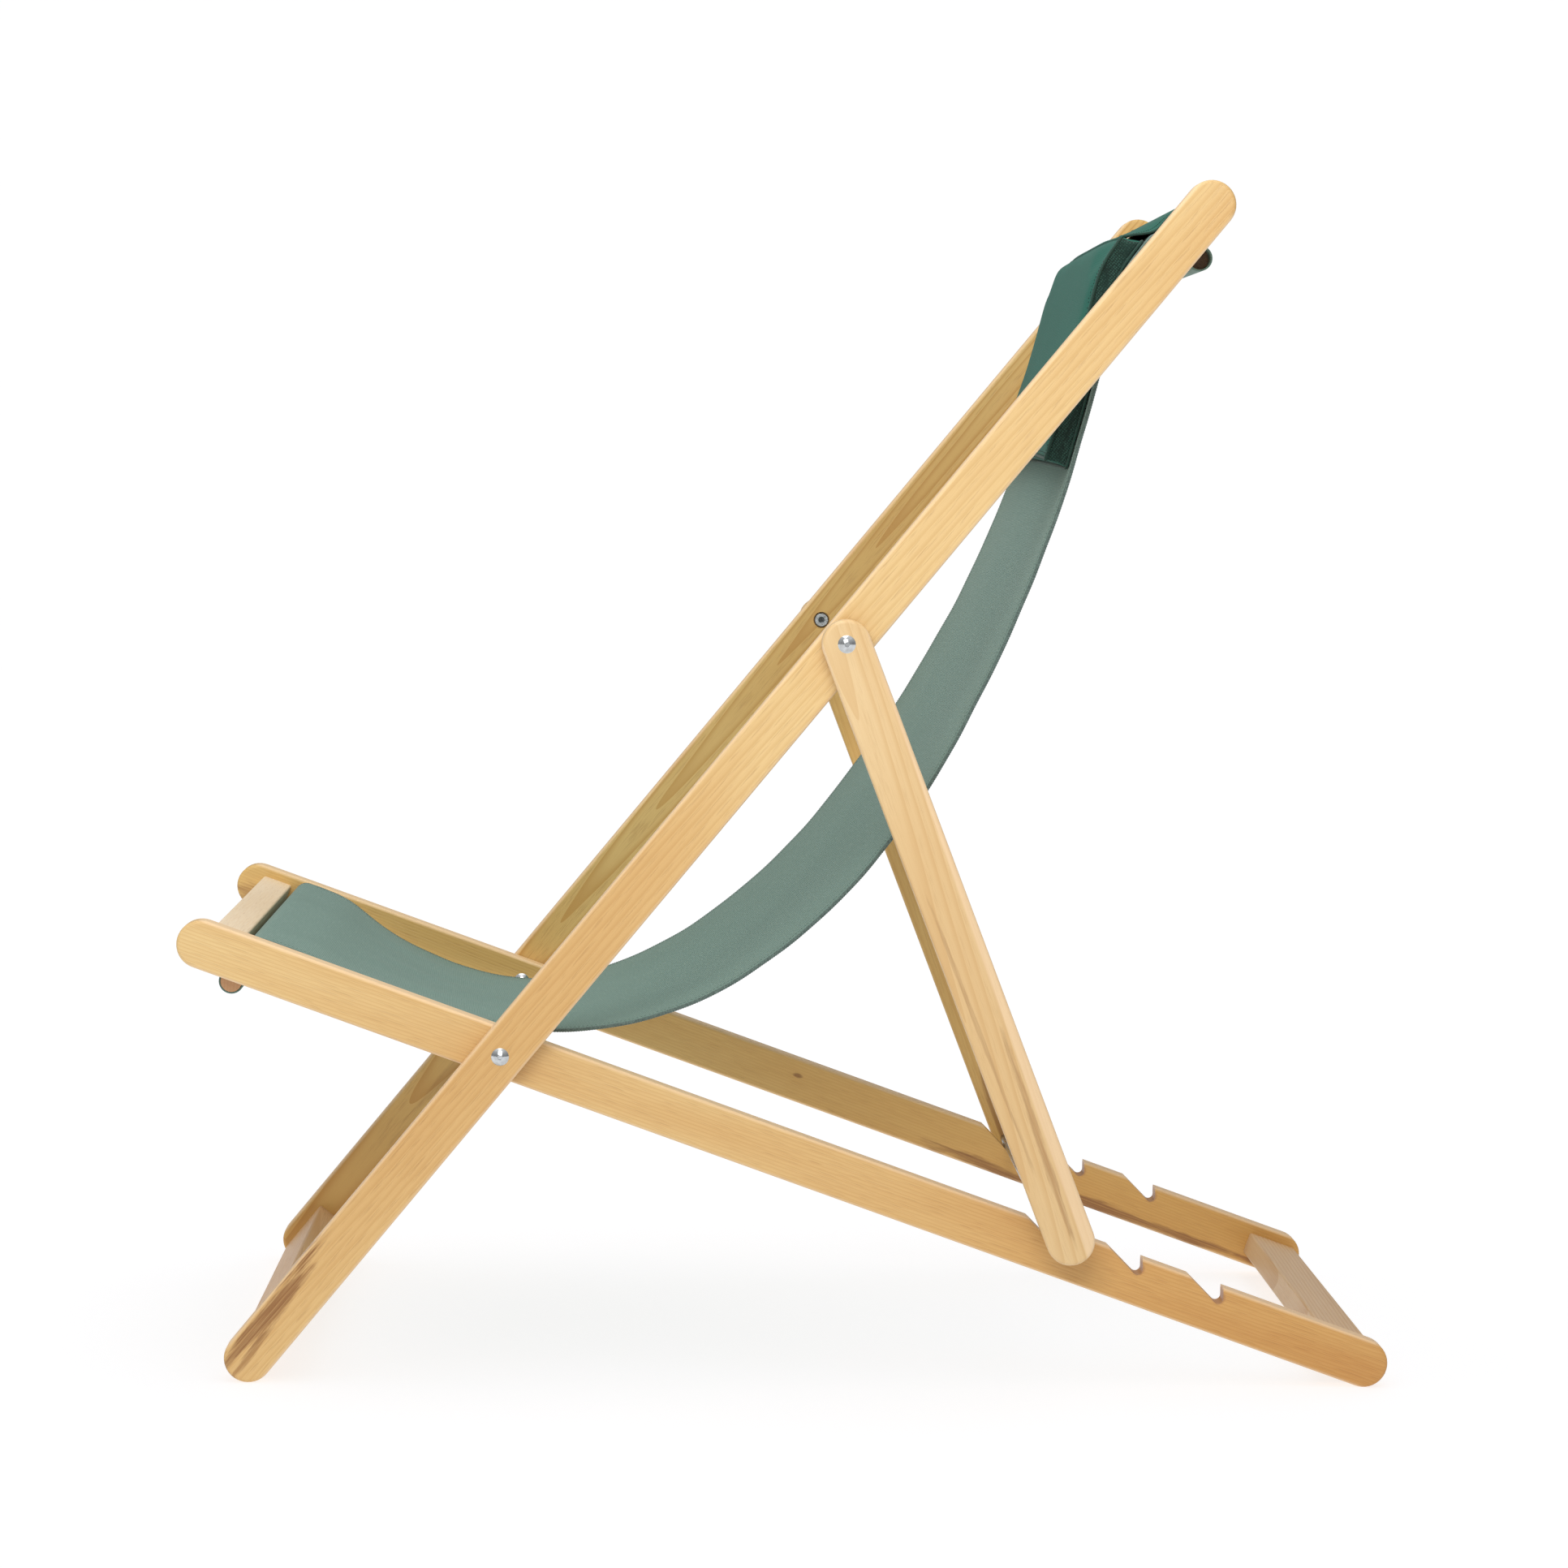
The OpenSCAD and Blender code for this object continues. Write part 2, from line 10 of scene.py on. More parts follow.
import bmesh
import bpy
from mathutils import Euler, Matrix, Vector


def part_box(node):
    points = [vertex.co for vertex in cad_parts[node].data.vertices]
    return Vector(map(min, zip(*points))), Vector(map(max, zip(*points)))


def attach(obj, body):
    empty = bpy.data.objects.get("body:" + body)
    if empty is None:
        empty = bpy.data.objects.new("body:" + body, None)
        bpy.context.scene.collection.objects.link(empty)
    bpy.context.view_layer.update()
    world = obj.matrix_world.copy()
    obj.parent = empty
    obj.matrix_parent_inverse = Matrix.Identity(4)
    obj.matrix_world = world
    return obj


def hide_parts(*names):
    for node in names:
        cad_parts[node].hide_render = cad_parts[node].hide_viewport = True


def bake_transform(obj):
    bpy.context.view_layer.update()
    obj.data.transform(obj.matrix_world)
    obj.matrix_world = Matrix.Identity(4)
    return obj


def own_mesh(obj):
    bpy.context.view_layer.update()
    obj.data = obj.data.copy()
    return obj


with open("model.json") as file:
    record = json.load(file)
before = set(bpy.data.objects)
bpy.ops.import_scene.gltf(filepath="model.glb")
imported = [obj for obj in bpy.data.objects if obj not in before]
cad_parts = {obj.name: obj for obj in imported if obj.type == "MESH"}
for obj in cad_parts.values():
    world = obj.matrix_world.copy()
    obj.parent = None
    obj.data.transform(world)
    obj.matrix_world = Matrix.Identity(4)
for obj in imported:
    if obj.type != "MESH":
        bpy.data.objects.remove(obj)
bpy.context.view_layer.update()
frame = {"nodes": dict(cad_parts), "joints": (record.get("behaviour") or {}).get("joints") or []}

# ---------------------------------------------------------------- sizes, in metres

CLOTH = 0.0014           # thickness of the sling's fabric
FABRIC_GAP = 0.0003      # air between fabric and the wood that it passes over
BAR_CORNER = 0.009       # radius of the sling bars' outer corners
SLING_HALF = 0.2135      # half the sling's width
SLING_COLUMNS = 72
WEB_ROWS = 230
HEM_TURN_IN = 0.010      # width of the folded side hems
HEM_TAIL = 0.020         # length of the dowel pocket's seam allowance
HEM_REACH = 0.040        # how far the side hems run on past the cloth's free stretch
SEAM_REACH = 0.030       # and how far their stitches do
SELVEDGE_REACH = 0.055   # and how far the edge thread does
SELVEDGE_RADII = (0.0014, 0.0017, 0.0014)   # of the edge thread, between and at its stitches
TOOTH = 0.0021           # distance from one edge stitch of the selvedge to the next
SIDE_STITCH = 0.0034     # distance from one stitch of the sling's seams to the next
SIDE_STITCH_INSET = 0.0014
SLING_STITCH = (0.0026, 0.00042)     # length and radius of those stitches
RIB_PITCH = 0.0013       # distance from cord to cord of the sling's weave, and of its finer threads
THREAD_PITCH = 0.0011
WAVY_EDGE = 0.055        # width of the wavy strip along each of the sling's sides
EDGE_WAVE = 0.0002       # height of its waves, of the pulls at the front bar, and of the soft bumps
PULLS = 0.0005
BUMPS = 0.0010
CORNER_LIFT = 0.0011     # how far the cloth rises off a bar's corner where it leaves it

PILLOW_HALF = 0.2025     # half the pillow's width
PILLOW_ON_BAR = 0.024    # how far the pillow reaches up over the head bar
PILLOW_TOP_LEAN = 0.007  # how much further up the back of its top edge lies than the front
PILLOW_DOWN = 0.163      # how far it reaches down the sling from that bar
PILLOW_END_T = 0.0155    # height of its boxing at the top corners
PILLOW_TOP_T = 0.0175    # and at the middle of the top edge
PILLOW_BOTTOM_T = 0.0190 # and at the bottom edge
PILLOW_CROWN = 0.0015    # how much higher the middle of its front panel is cut
PILLOW_RIDGE = 0.0050    # and how much higher it is just below its top seam
PILLOW_SWELL = 0.0030    # the most that the filling may push a point out
PIPING = 0.0013          # radius of its piped seams
PIPING_SIDES = 8
PILLOW_SEAM_INSET = 0.0045
PILLOW_STITCH = (0.0017, 0.0004)     # length and radius of the pillow's stitches
PILLOW_GAP = 0.0020      # air between the sling and the pillow's back
PILLOW_WAIST = 0.012     # share by which its sides pull in, and by which its bottom edge bows
PILLOW_BOW = 0.010
RIDGE_PLACE = 0.055      # the ridge's place and width, as a share of the pillow's length
WEFT_PITCH = 0.0010      # distances from thread to thread of its face, and from cell to cell of its net
WARP_PITCH = 0.0008
NET_PITCH = 0.0017

FLAP_T = 0.0016
FLAP_HALF = 0.197        # half the flap's width
FLAP_GAP = 0.0006        # air between the flap and the head slat
FLAP_BEND = 0.0022       # radius of its bend over the head slat's corner
FLAP_BELOW = 0.004       # how far it reaches past the head slat's lower face
FLAP_SAG = 0.0020        # how far it sags between the pillow and the head slat
FLAP_DROOP = 0.0075      # how much further its corners droop there
FLAP_CORNER = 0.014      # width of the drooping corners
FLAP_BORDER = 0.0011     # radius of its bound side edges
FLAP_STITCH = (0.0018, 0.0004)       # length and radius of its stitches
FLAP_SPAN_STEPS = 16

NOTCH_FIRST = 0.4865     # from the main pivot along the seat rails to the first notch
NOTCH_STEP = 0.072
NOTCH_RISE = 0.011       # from the rails' middle line up to the middle of a notch's stain
NOTCH_STAIN = (0.0066, 0.0048)       # where the stain round a notch starts, and where it is full

# How the sling's edges hang: heading and pull of the curve at the front bar and at the head bar.
Hang = namedtuple("Hang", "dip front_pull climb head_pull")
NEAR_EDGE = Hang(28.9, 0.451, 79.6, 0.370)
FAR_EDGE = Hang(41.8, 0.397, 78.7, 0.335)

# ---------------------------------------------------------------- the frames' own axes

Reach = namedtuple("Reach", "low high bottom top")


class Plane:
    """A wooden frame's axes: x across the chair, `along` its rails from the pivot, `rise` above them."""

    def __init__(self, origin, toward):
        self.origin = Vector((0, origin.y, origin.z))
        heading = toward - origin
        self.angle = math.atan2(heading.z, heading.y)
        self.along = Vector((0, math.cos(self.angle), math.sin(self.angle)))
        self.up = Vector((0, -math.sin(self.angle), math.cos(self.angle)))

    def point(self, x, along, rise):
        return self.origin + Vector((x, 0, 0)) + along * self.along + rise * self.up

    def reach(self, node):
        """Where a CAD node starts and ends along the rails, and its bottom and top."""
        places = [v.co - self.origin for v in frame["nodes"][node].data.vertices]
        along = [p.dot(self.along) for p in places]
        rise = [p.dot(self.up) for p in places]
        return Reach(min(along), max(along), min(rise), max(rise))


PIVOTS = {j["name"]: Vector(j["pos_m"]) for j in frame["joints"]}
BACK = Plane(PIVOTS["back_fold"], PIVOTS["prop_swing"])
RAIL = BACK.reach("back_rail_right")
RAIL_HALF = (RAIL.top - RAIL.bottom) / 2
SEAT_END = Vector((0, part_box("seat_rail_right")[1].y - RAIL_HALF, RAIL_HALF))
SEAT = Plane(PIVOTS["back_fold"], SEAT_END)
ROD = (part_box("prop_rod")[0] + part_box("prop_rod")[1]) / 2
PROP = Plane(PIVOTS["prop_swing"], ROD)

# ---------------------------------------------------------------- materials

WAVE_PITCH = 0.314       # distance from one band of a Wave texture to the next, at scale 1
NUT_HEAD = 0.0070        # radius of a sleeve nut's head


def colour(code):
    """An sRGB hex code as linear RGBA."""
    shares = [int(code[i:i + 2], 16) / 255 for i in (0, 2, 4)]
    return (*[s / 12.92 if s <= 0.04045 else ((s + 0.055) / 1.055) ** 2.4 for s in shares], 1)


class Shader:
    """A new material with a Principled surface, and short calls that add nodes to it."""

    def __init__(self, name, **surface):
        self.material = bpy.data.materials.new(name)
        self.material.use_nodes = True
        self.nodes = self.material.node_tree.nodes
        self.links = self.material.node_tree.links
        self.surface = self.nodes["Principled BSDF"]
        for socket, value in surface.items():
            self.surface.inputs[socket.replace("_", " ")].default_value = value

    def feed(self, socket, value):
        if isinstance(value, bpy.types.NodeSocket):
            self.links.new(value, socket)
        elif value is not None:
            socket.default_value = value

    def add(self, kind, settings=None, output=0, **inputs):
        node = self.nodes.new("ShaderNode" + kind)
        for name, value in (settings or {}).items():
            setattr(node, name, value)
        for name, value in inputs.items():
            self.feed(node.inputs[name.replace("_", " ")], value)
        return node.outputs[output]

    def math(self, operation, a, b=0.0):
        node = self.nodes.new("ShaderNodeMath")
        node.operation = operation
        self.feed(node.inputs[0], a)
        self.feed(node.inputs[1], b)
        return node.outputs[0]

    def stretch(self, vector, scale):
        return self.vector("MULTIPLY", vector, scale)

    def noise(self, vector, scale, detail=2.0, roughness=0.5):
        stretched = self.stretch(vector, scale)
        return self.add("TexNoise", Vector=stretched, Scale=1.0, Detail=detail, Roughness=roughness)

    def ramp(self, value, *stops):
        """A colour for each value, from stops of (place, colour)."""
        node = self.nodes.new("ShaderNodeValToRGB")
        elements = node.color_ramp.elements
        while len(elements) < len(stops):
            elements.new(0.5)
        for element, (place, paint) in zip(elements, stops):
            element.position = place
            element.color = paint
        self.feed(node.inputs[0], value)
        return node.outputs[0]

    def between(self, value, low, high, start=0.0, end=1.0):
        """Value taken smoothly from low..high to start..end."""
        settings = {"interpolation_type": "SMOOTHSTEP"}
        return self.add("MapRange", settings, Value=value, From_Min=low, From_Max=high,
                        To_Min=start, To_Max=end)

    def mix(self, share, a, b, blend="MIX"):
        node = self.nodes.new("ShaderNodeMixRGB")
        node.blend_type = blend
        for socket, value in zip(node.inputs, (share, a, b)):
            self.feed(socket, value)
        return node.outputs[0]

    def vector(self, operation, a, b=None, output=0):
        node = self.nodes.new("ShaderNodeVectorMath")
        node.operation = operation
        self.feed(node.inputs[0], a)
        self.feed(node.inputs[1], b)
        return node.outputs[output]

    def axes(self, vector):
        node = self.nodes.new("ShaderNodeSeparateXYZ")
        self.feed(node.inputs[0], vector)
        return node.outputs[:]

    def bump(self, height, distance, strength=1.0):
        normal = self.add("Bump", Height=height, Distance=distance, Strength=strength)
        self.feed(self.surface.inputs["Normal"], normal)

    def paint(self, base=None, roughness=None):
        self.feed(self.surface.inputs["Base Color"], base)
        self.feed(self.surface.inputs["Roughness"], roughness)


Streak = namedtuple("Streak", "along across half_along half_across strength slope", defaults=(0.0,))
RAIL_TONES = ("E3C48A", "D6AE71")
LEFT_TONES = ("DDBA74", "CFA35B")
STRUT_TONES = ("E4C898", "DAB782")
BAR_TONES = ("F2DDBD", "E7CEA8")
PORE = colour("A87438")
HEARTWOOD = colour("8A5A2C")
# Colour of the painted highlight along the rails' rounded rims.
PINK_RIM_HIGHLIGHT = colour("EDCFA8")


def wood(name, plane, seed, tones=RAIL_TONES, grain_across=False, pith=(0.01, 0.11), ring=0.0027,
         slant=(1.0, 0.5), wander=0.004, figure=0.7, pores=0.34, streaks=(), edge=None, notches=(),
         warm=None):
    """Lacquered ash. The grain runs along the plane's rails, or across them.

    pith is where the tree's middle lies beside the board, slant how many degrees the board's length is
    off the tree's, and wander how crooked the tree was. edge is half the board's height, whose rims get
    a painted pinkish highlight. notches are places along it, and warm is (from, to, strength) along it.
    """
    s = Shader(name, Roughness=0.42, Coat_Weight=0.10, Coat_Roughness=0.3, IOR=1.48)
    turned = math.pi / 2 if grain_across else 0.0
    away = (-plane.origin.dot(plane.along), -plane.origin.dot(plane.up))
    place = s.add("Mapping", Vector=s.add("TexCoord", output=3), Rotation=(-plane.angle, 0, turned),
                  Location=(-away[0], 0, away[1]) if grain_across else (0, *away))
    _, along, depth = s.axes(place)
    board = s.add("Mapping", Vector=place, Location=(-pith[0], seed * 3.7, -pith[1]),
                  Rotation=(math.radians(slant[0]), 0, math.radians(slant[1])))
    crooked = s.add("TexNoise", output=1, Vector=s.stretch(board, (5, 1.3, 5)), Scale=1.0, Detail=3.0)
    crooked = s.stretch(s.vector("SUBTRACT", crooked, (0.5, 0.5, 0.5)), (2 * wander, 0, 2 * wander))
    radius = s.vector("LENGTH", s.stretch(s.vector("ADD", board, crooked), (1, 0, 1)), output=1)
    year = s.math("FRACT", s.math("DIVIDE", radius, ring))
    spring = s.math("MULTIPLY", s.between(year, 0.0, 0.14), s.between(year, 0.55, 0.25))
    autumn = s.between(year, 0.45, 1.0)
    fibres = s.noise(board, (900, 11, 900), 3.0, 0.6)
    vessels = s.between(s.noise(board, (1450, 46, 1450), 1.0), 0.48, 0.68)
    cloud = s.noise(board, (14, 1.9, 14), 3.0)
    light, dark = [colour(t) for t in tones]
    shade = s.mix(s.between(cloud, 0.3, 0.72), light, dark)
    shade = s.mix(s.math("MULTIPLY", autumn, 0.5 * figure), shade, colour("E3CCA6"), "MULTIPLY")
    shade = s.mix(s.between(fibres, 0.35, 0.8, 0.0, 0.16), shade, colour("C99A5A"))
    open_pores = s.math("MULTIPLY", vessels, s.math("ADD", s.math("MULTIPLY", spring, 0.85), 0.10))
    shade = s.mix(s.math("MULTIPLY", open_pores, pores), shade, PORE)
    if warm:
        tint = s.between(along, warm[0], warm[1], 0.0, warm[2])
        shade = s.mix(tint, shade, colour("E6C48E"), "MULTIPLY")
    if edge:
        # Painted highlight: a pinkish band along the board's rounded top and bottom rims.
        rim = s.between(s.math("ABSOLUTE", depth), edge - 0.0030, edge - 0.0004, 0.0, 0.6)
        shade = s.mix(rim, shade, PINK_RIM_HIGHLIGHT)
    ragged = s.math("SUBTRACT", s.noise(board, (150, 15, 150), 4.0, 0.65), 0.5)
    for streak in streaks:
        ahead = s.math("SUBTRACT", along, streak.along)
        over = s.math("DIVIDE", ahead, streak.half_along)
        middle = s.math("ADD", s.math("MULTIPLY", ahead, streak.slope), streak.across)
        beside = s.math("DIVIDE", s.math("SUBTRACT", depth, middle), streak.half_across)
        far = s.math("SQRT", s.math("ADD", s.math("POWER", over, 2.0), s.math("POWER", beside, 2.0)))
        far = s.math("ADD", far, s.math("MULTIPLY", ragged, 2.4))
        mask = s.between(far, 1.15, 0.55, 0.0, streak.strength)
        mask = s.math("MULTIPLY", mask, s.between(fibres, 0.3, 0.62, 0.55, 1.0))
        shade = s.mix(mask, shade, HEARTWOOD)
    for notch in notches:
        near = s.math("POWER", s.math("SUBTRACT", along, notch), 2.0)
        deep = s.math("POWER", s.math("SUBTRACT", depth, NOTCH_RISE), 2.0)
        cut = s.math("SQRT", s.math("ADD", near, deep))
        shade = s.mix(s.between(cut, *NOTCH_STAIN, 0.0, 0.5), shade, colour("A06A45"))
    s.paint(shade, s.between(fibres, 0.2, 0.8, 0.36, 0.52))
    grain = s.math("SUBTRACT", s.math("MULTIPLY", fibres, 0.4), open_pores)
    s.bump(grain, 0.00016, 0.6)
    return s.material


def metal(name, tone, roughness, scratches):
    """Plated steel with fine turning marks."""
    s = Shader(name, Metallic=1.0)
    place = s.add("TexCoord", output=3)
    marks = s.noise(place, (scratches, 90, 90), 3.0, 0.6)
    dirt = s.noise(place, (220, 220, 220), 3.0)
    s.paint(s.ramp(dirt, (0.3, colour(tone)), (0.75, colour("B4B6B6"))),
            s.between(marks, 0.3, 0.7, roughness * 0.7, roughness * 1.4))
    s.bump(marks, 0.00004, 0.4)
    return s.material


def nylon():
    s = Shader("washer_nylon", Roughness=0.5)
    haze = s.noise(s.add("TexCoord", output=3), (300, 300, 300), 3.0)
    s.paint(s.ramp(haze, (0.3, colour("DCD9CE")), (0.7, colour("ECEAE2"))),
            s.between(haze, 0.3, 0.7, 0.42, 0.6))
    s.bump(haze, 0.00005, 0.4)
    return s.material


def ribbed_cloth():
    """The sling's weave: cords across the chair, held by finer threads.

    It follows the cloth's own UV, in metres.
    """
    s = Shader("sling_weave", Roughness=0.86, Sheen_Weight=0.08, Sheen_Roughness=0.45,
               Specular_IOR_Level=0.25)
    place = s.add("UVMap", {"uv_map": "cloth"})
    ribs = s.add("TexWave", {"bands_direction": "Y"}, output=1, Vector=place,
                 Scale=WAVE_PITCH / RIB_PITCH, Distortion=0.6, Detail=1.0, Detail_Scale=0.02)
    threads = s.add("TexWave", {"bands_direction": "X"}, output=1, Vector=place,
                    Scale=WAVE_PITCH / THREAD_PITCH, Distortion=0.5, Detail=1.0, Detail_Scale=0.03)
    slubs = s.noise(place, (46, 900, 1), 2.0)
    cloud = s.noise(place, (9, 5, 1), 3.0)
    weave = s.math("ADD", s.math("MULTIPLY", ribs, 0.72), s.math("MULTIPLY", threads, 0.28))
    base = s.ramp(weave, (0.05, colour("607B70")), (0.55, colour("708A80")), (1.0, colour("7C958B")))
    base = s.mix(s.between(slubs, 0.45, 0.8, 0.0, 0.35), base, colour("8BA298"))
    base = s.mix(s.between(cloud, 0.35, 0.75, 0.0, 0.30), base, colour("647E74"))
    s.paint(base, s.between(weave, 0.0, 1.0, 0.92, 0.78))
    s.bump(weave, 0.00025, 0.5)
    return s.material


def thread(name, dark, light):
    """Twisted sewing thread."""
    s = Shader(name, Roughness=0.8, Sheen_Weight=0.1)
    twist = s.noise(s.add("TexCoord", output=3), (900, 900, 900), 2.0)
    s.paint(s.ramp(twist, (0.3, colour(dark)), (0.75, colour(light))),
            s.between(twist, 0.3, 0.7, 0.7, 0.9))
    s.bump(twist, 0.0002, 0.6)
    return s.material


def back_place(s):
    """Coordinates of the back frame: x across, y along its rails, z above them."""
    away = (-BACK.origin.dot(BACK.along), -BACK.origin.dot(BACK.up))
    return s.add("Mapping", Vector=s.add("TexCoord", output=3), Rotation=(-BACK.angle, 0, 0),
                 Location=(0, *away))


def pillow_cloth():
    """The pillow's face: a close, slightly shiny weave."""
    s = Shader("pillow_face", Roughness=0.68, Sheen_Weight=0.03, Sheen_Roughness=0.4,
               Specular_IOR_Level=0.18)
    place = back_place(s)
    weft = s.add("TexWave", {"bands_direction": "Y"}, output=1, Vector=place,
                 Scale=WAVE_PITCH / WEFT_PITCH, Distortion=0.8, Detail=1.0, Detail_Scale=0.02)
    warp = s.add("TexWave", {"bands_direction": "X"}, output=1, Vector=place,
                 Scale=WAVE_PITCH / WARP_PITCH, Distortion=0.8, Detail=1.0, Detail_Scale=0.02)
    cloud = s.noise(place, (11, 14, 11), 3.0)
    weave = s.math("MULTIPLY", s.math("ADD", weft, warp), 0.5)
    base = s.ramp(weave, (0.1, colour("1F5648")), (0.6, colour("286457")), (1.0, colour("307062")))
    base = s.mix(s.between(cloud, 0.35, 0.75, 0.0, 0.35), base, colour("22584B"))
    s.paint(base, s.between(weave, 0.0, 1.0, 0.7, 0.55))
    s.bump(weave, 0.00016, 0.5)
    return s.material


def pillow_mesh():
    """The pillow's boxing: an open, pebbly net over a darker lining, its colours darkened further as
    painted shade from the near rail.
    """
    s = Shader("pillow_boxing_painted_shade", Roughness=0.7, Sheen_Weight=0.2, Specular_IOR_Level=0.3)
    place = back_place(s)
    cells = s.add("TexVoronoi", {"feature": "F1"}, Vector=s.stretch(place, (1, 1, 0.8)),
                  Scale=1 / NET_PITCH, Randomness=0.3)
    knots = s.between(cells, 0.75, 0.15)
    cloud = s.noise(place, (40, 40, 40), 3.0)
    # These colours are the net's own dark green, made darker still as painted shade of the near rail.
    base = s.ramp(knots, (0.0, colour("0A241D")), (0.5, colour("113028")), (1.0, colour("1C483D")))
    base = s.mix(s.between(cloud, 0.4, 0.8, 0.0, 0.4), base, colour("1A463B"))
    s.paint(base, s.between(knots, 0.0, 1.0, 0.85, 0.55))
    s.bump(knots, 0.0006, 0.8)
    return s.material


SLING_CLOTH = ribbed_cloth()
SLING_THREAD = thread("sling_thread", "3F5850", "5F786F")
EDGE_THREAD = thread("sling_edge_thread", "3A4A45", "6A7E76")
PILLOW_CLOTH = pillow_cloth()
PILLOW_MESH = pillow_mesh()
PILLOW_THREAD = thread("pillow_thread", "0C2B23", "1C4A3D")

# ---------------------------------------------------------------- the CAD nodes' finishes

NOTCHES = [NOTCH_FIRST + i * NOTCH_STEP for i in range(3)]
FINISHES = {
    "back_rail_right": wood("back_right_ash", BACK, 1.0, edge=RAIL_HALF, warm=(0.5, -0.35, 0.30),
                            streaks=[Streak(-0.280, 0.0115, 0.082, 0.0085, 0.95, 0.055),
                                     Streak(-0.318, 0.002, 0.030, 0.0045, 0.6, 0.05)]),
    "back_rail_left": wood("back_left_ash", BACK, 2.3, LEFT_TONES, pith=(-0.262, 0.004), ring=0.0042,
                           slant=(0.2, 1.4), wander=0.012, figure=1.5, edge=RAIL_HALF,
                           streaks=[Streak(-0.07, -0.004, 0.11, 0.006, 0.35)]),
    "seat_rail_right": wood("seat_right_ash", SEAT, 3.1, pith=(0.24, -0.09), ring=0.0030,
                            slant=(-0.5, 0.6), edge=RAIL_HALF, notches=NOTCHES, warm=(0.05, 0.62, 0.75)),
    "seat_rail_left": wood("seat_left_ash", SEAT, 4.7, LEFT_TONES, pith=(-0.21, 0.095), figure=0.7,
                           edge=RAIL_HALF, notches=NOTCHES, warm=(0.1, 0.7, 0.4),
                           streaks=[Streak(0.565, -0.0155, 0.19, 0.0062, 0.95),
                                    Streak(0.275, 0.004, 0.006, 0.0028, 0.9),
                                    Streak(-0.262, -0.010, 0.020, 0.010, 0.6)]),
    "prop_strut_right": wood("prop_right_ash", PROP, 5.9, STRUT_TONES, pith=(0.30, -0.012),
                             ring=0.0052, slant=(0.5, 1.4), wander=0.010, figure=0.7, pores=0.12,
                             edge=RAIL_HALF, streaks=[Streak(0.44, 0.0125, 0.11, 0.0030, 0.45, -0.02),
                                                      Streak(0.33, -0.004, 0.12, 0.0018, 0.35, 0.03)]),
    "prop_strut_left": wood("prop_left_ash", PROP, 7.3, LEFT_TONES, edge=RAIL_HALF,
                            streaks=[Streak(0.50, 0.006, 0.05, 0.010, 0.75)]),
    "head_slat": wood("head_slat_ash", BACK, 8.1, BAR_TONES, True, figure=0.35),
    "head_sling_bar": wood("head_bar_ash", BACK, 9.4, BAR_TONES, True, figure=0.35),
    "foot_crossbar": wood("foot_bar_ash", BACK, 10.2, ("DBB284", "CB9E6E"), True, (0.03, 0.03), 0.0035),
    "front_slat": wood("front_slat_ash", SEAT, 11.8, BAR_TONES, True, (-0.25, 0.10), figure=0.25,
                       pores=0.3),
    "front_sling_bar": wood("front_bar_ash", SEAT, 12.5, BAR_TONES, True, figure=0.35),
    "rear_crossbar": wood("rear_bar_ash", SEAT, 13.6, ("D4B28A", "C49D6E"), True, (0.742, 0.022), 0.0046,
                          (0.8, 0.9), 0.010, figure=1.3, pores=0.22),
}
DOWEL_TONES = ("CFA57C", "BD9068")
# The head dowel's tones are darkened to paint the shade inside its cloth pocket.
POCKET_SHADE_DOWEL_TONES = ("7E5E42", "6B4D34")
DOWELS = {"head_dowel": BACK, "front_dowel": SEAT, "back_pegs": BACK, "seat_pegs": SEAT}
for place, (node, plane) in enumerate(DOWELS.items()):
    tones = POCKET_SHADE_DOWEL_TONES if node == "head_dowel" else DOWEL_TONES
    FINISHES[node] = wood(node + "_beech", plane, 15.0 + place, tones, True, (0.02, 0.03))


def nut_metal():
    """Plated nut seen end on: a bright zinc flat, with painted shade as a dark shadow ring at its rim
    and a dark hex socket.
    """
    s = Shader("sleeve_nut_zinc_painted_shade", Metallic=1.0)
    place = s.vector("SUBTRACT", s.add("TexCoord", output=3), PROP.origin)
    off = s.vector("LENGTH", s.stretch(place, (0, 1, 1)), output=1)
    marks = s.noise(place, (90, 900, 900), 3.0, 0.6)
    # The ramp's dark middle and dark outer rim are painted shade: the socket's hollow and a shadow ring
    # round the head.
    face = s.ramp(s.math("DIVIDE", off, NUT_HEAD), (0.0, colour("4A4C4C")), (0.36, colour("55585A")),
                  (0.46, colour("A9ADAF")), (0.78, colour("BFC3C5")), (0.93, colour("3C3D3D")))
    s.paint(face, s.between(marks, 0.3, 0.7, 0.22, 0.42))
    dish = s.math("MULTIPLY", s.between(off, 0.0022, 0.0030), s.between(off, 0.0066, 0.0060))
    s.bump(s.math("ADD", dish, s.math("MULTIPLY", marks, 0.1)), 0.0006, 0.8)
    return s.material


ZINC = metal("bright_zinc", "D4D8DA", 0.16, 300)
for node in ("main_pivot_bolts", "main_pivot_nuts", "prop_pivot_bolts", "prop_pivot_nuts"):
    FINISHES[node] = ZINC
FINISHES["prop_pivot_nuts"] = nut_metal()
FINISHES["prop_rod"] = metal("drawn_steel", "A9ABAB", 0.34, 60)
FINISHES["main_pivot_washers"] = FINISHES["prop_pivot_washers"] = nylon()
for node, finish in FINISHES.items():
    mesh = frame["nodes"][node].data
    mesh.materials.clear()
    mesh.materials.append(finish)

# ---------------------------------------------------------------- mesh helpers


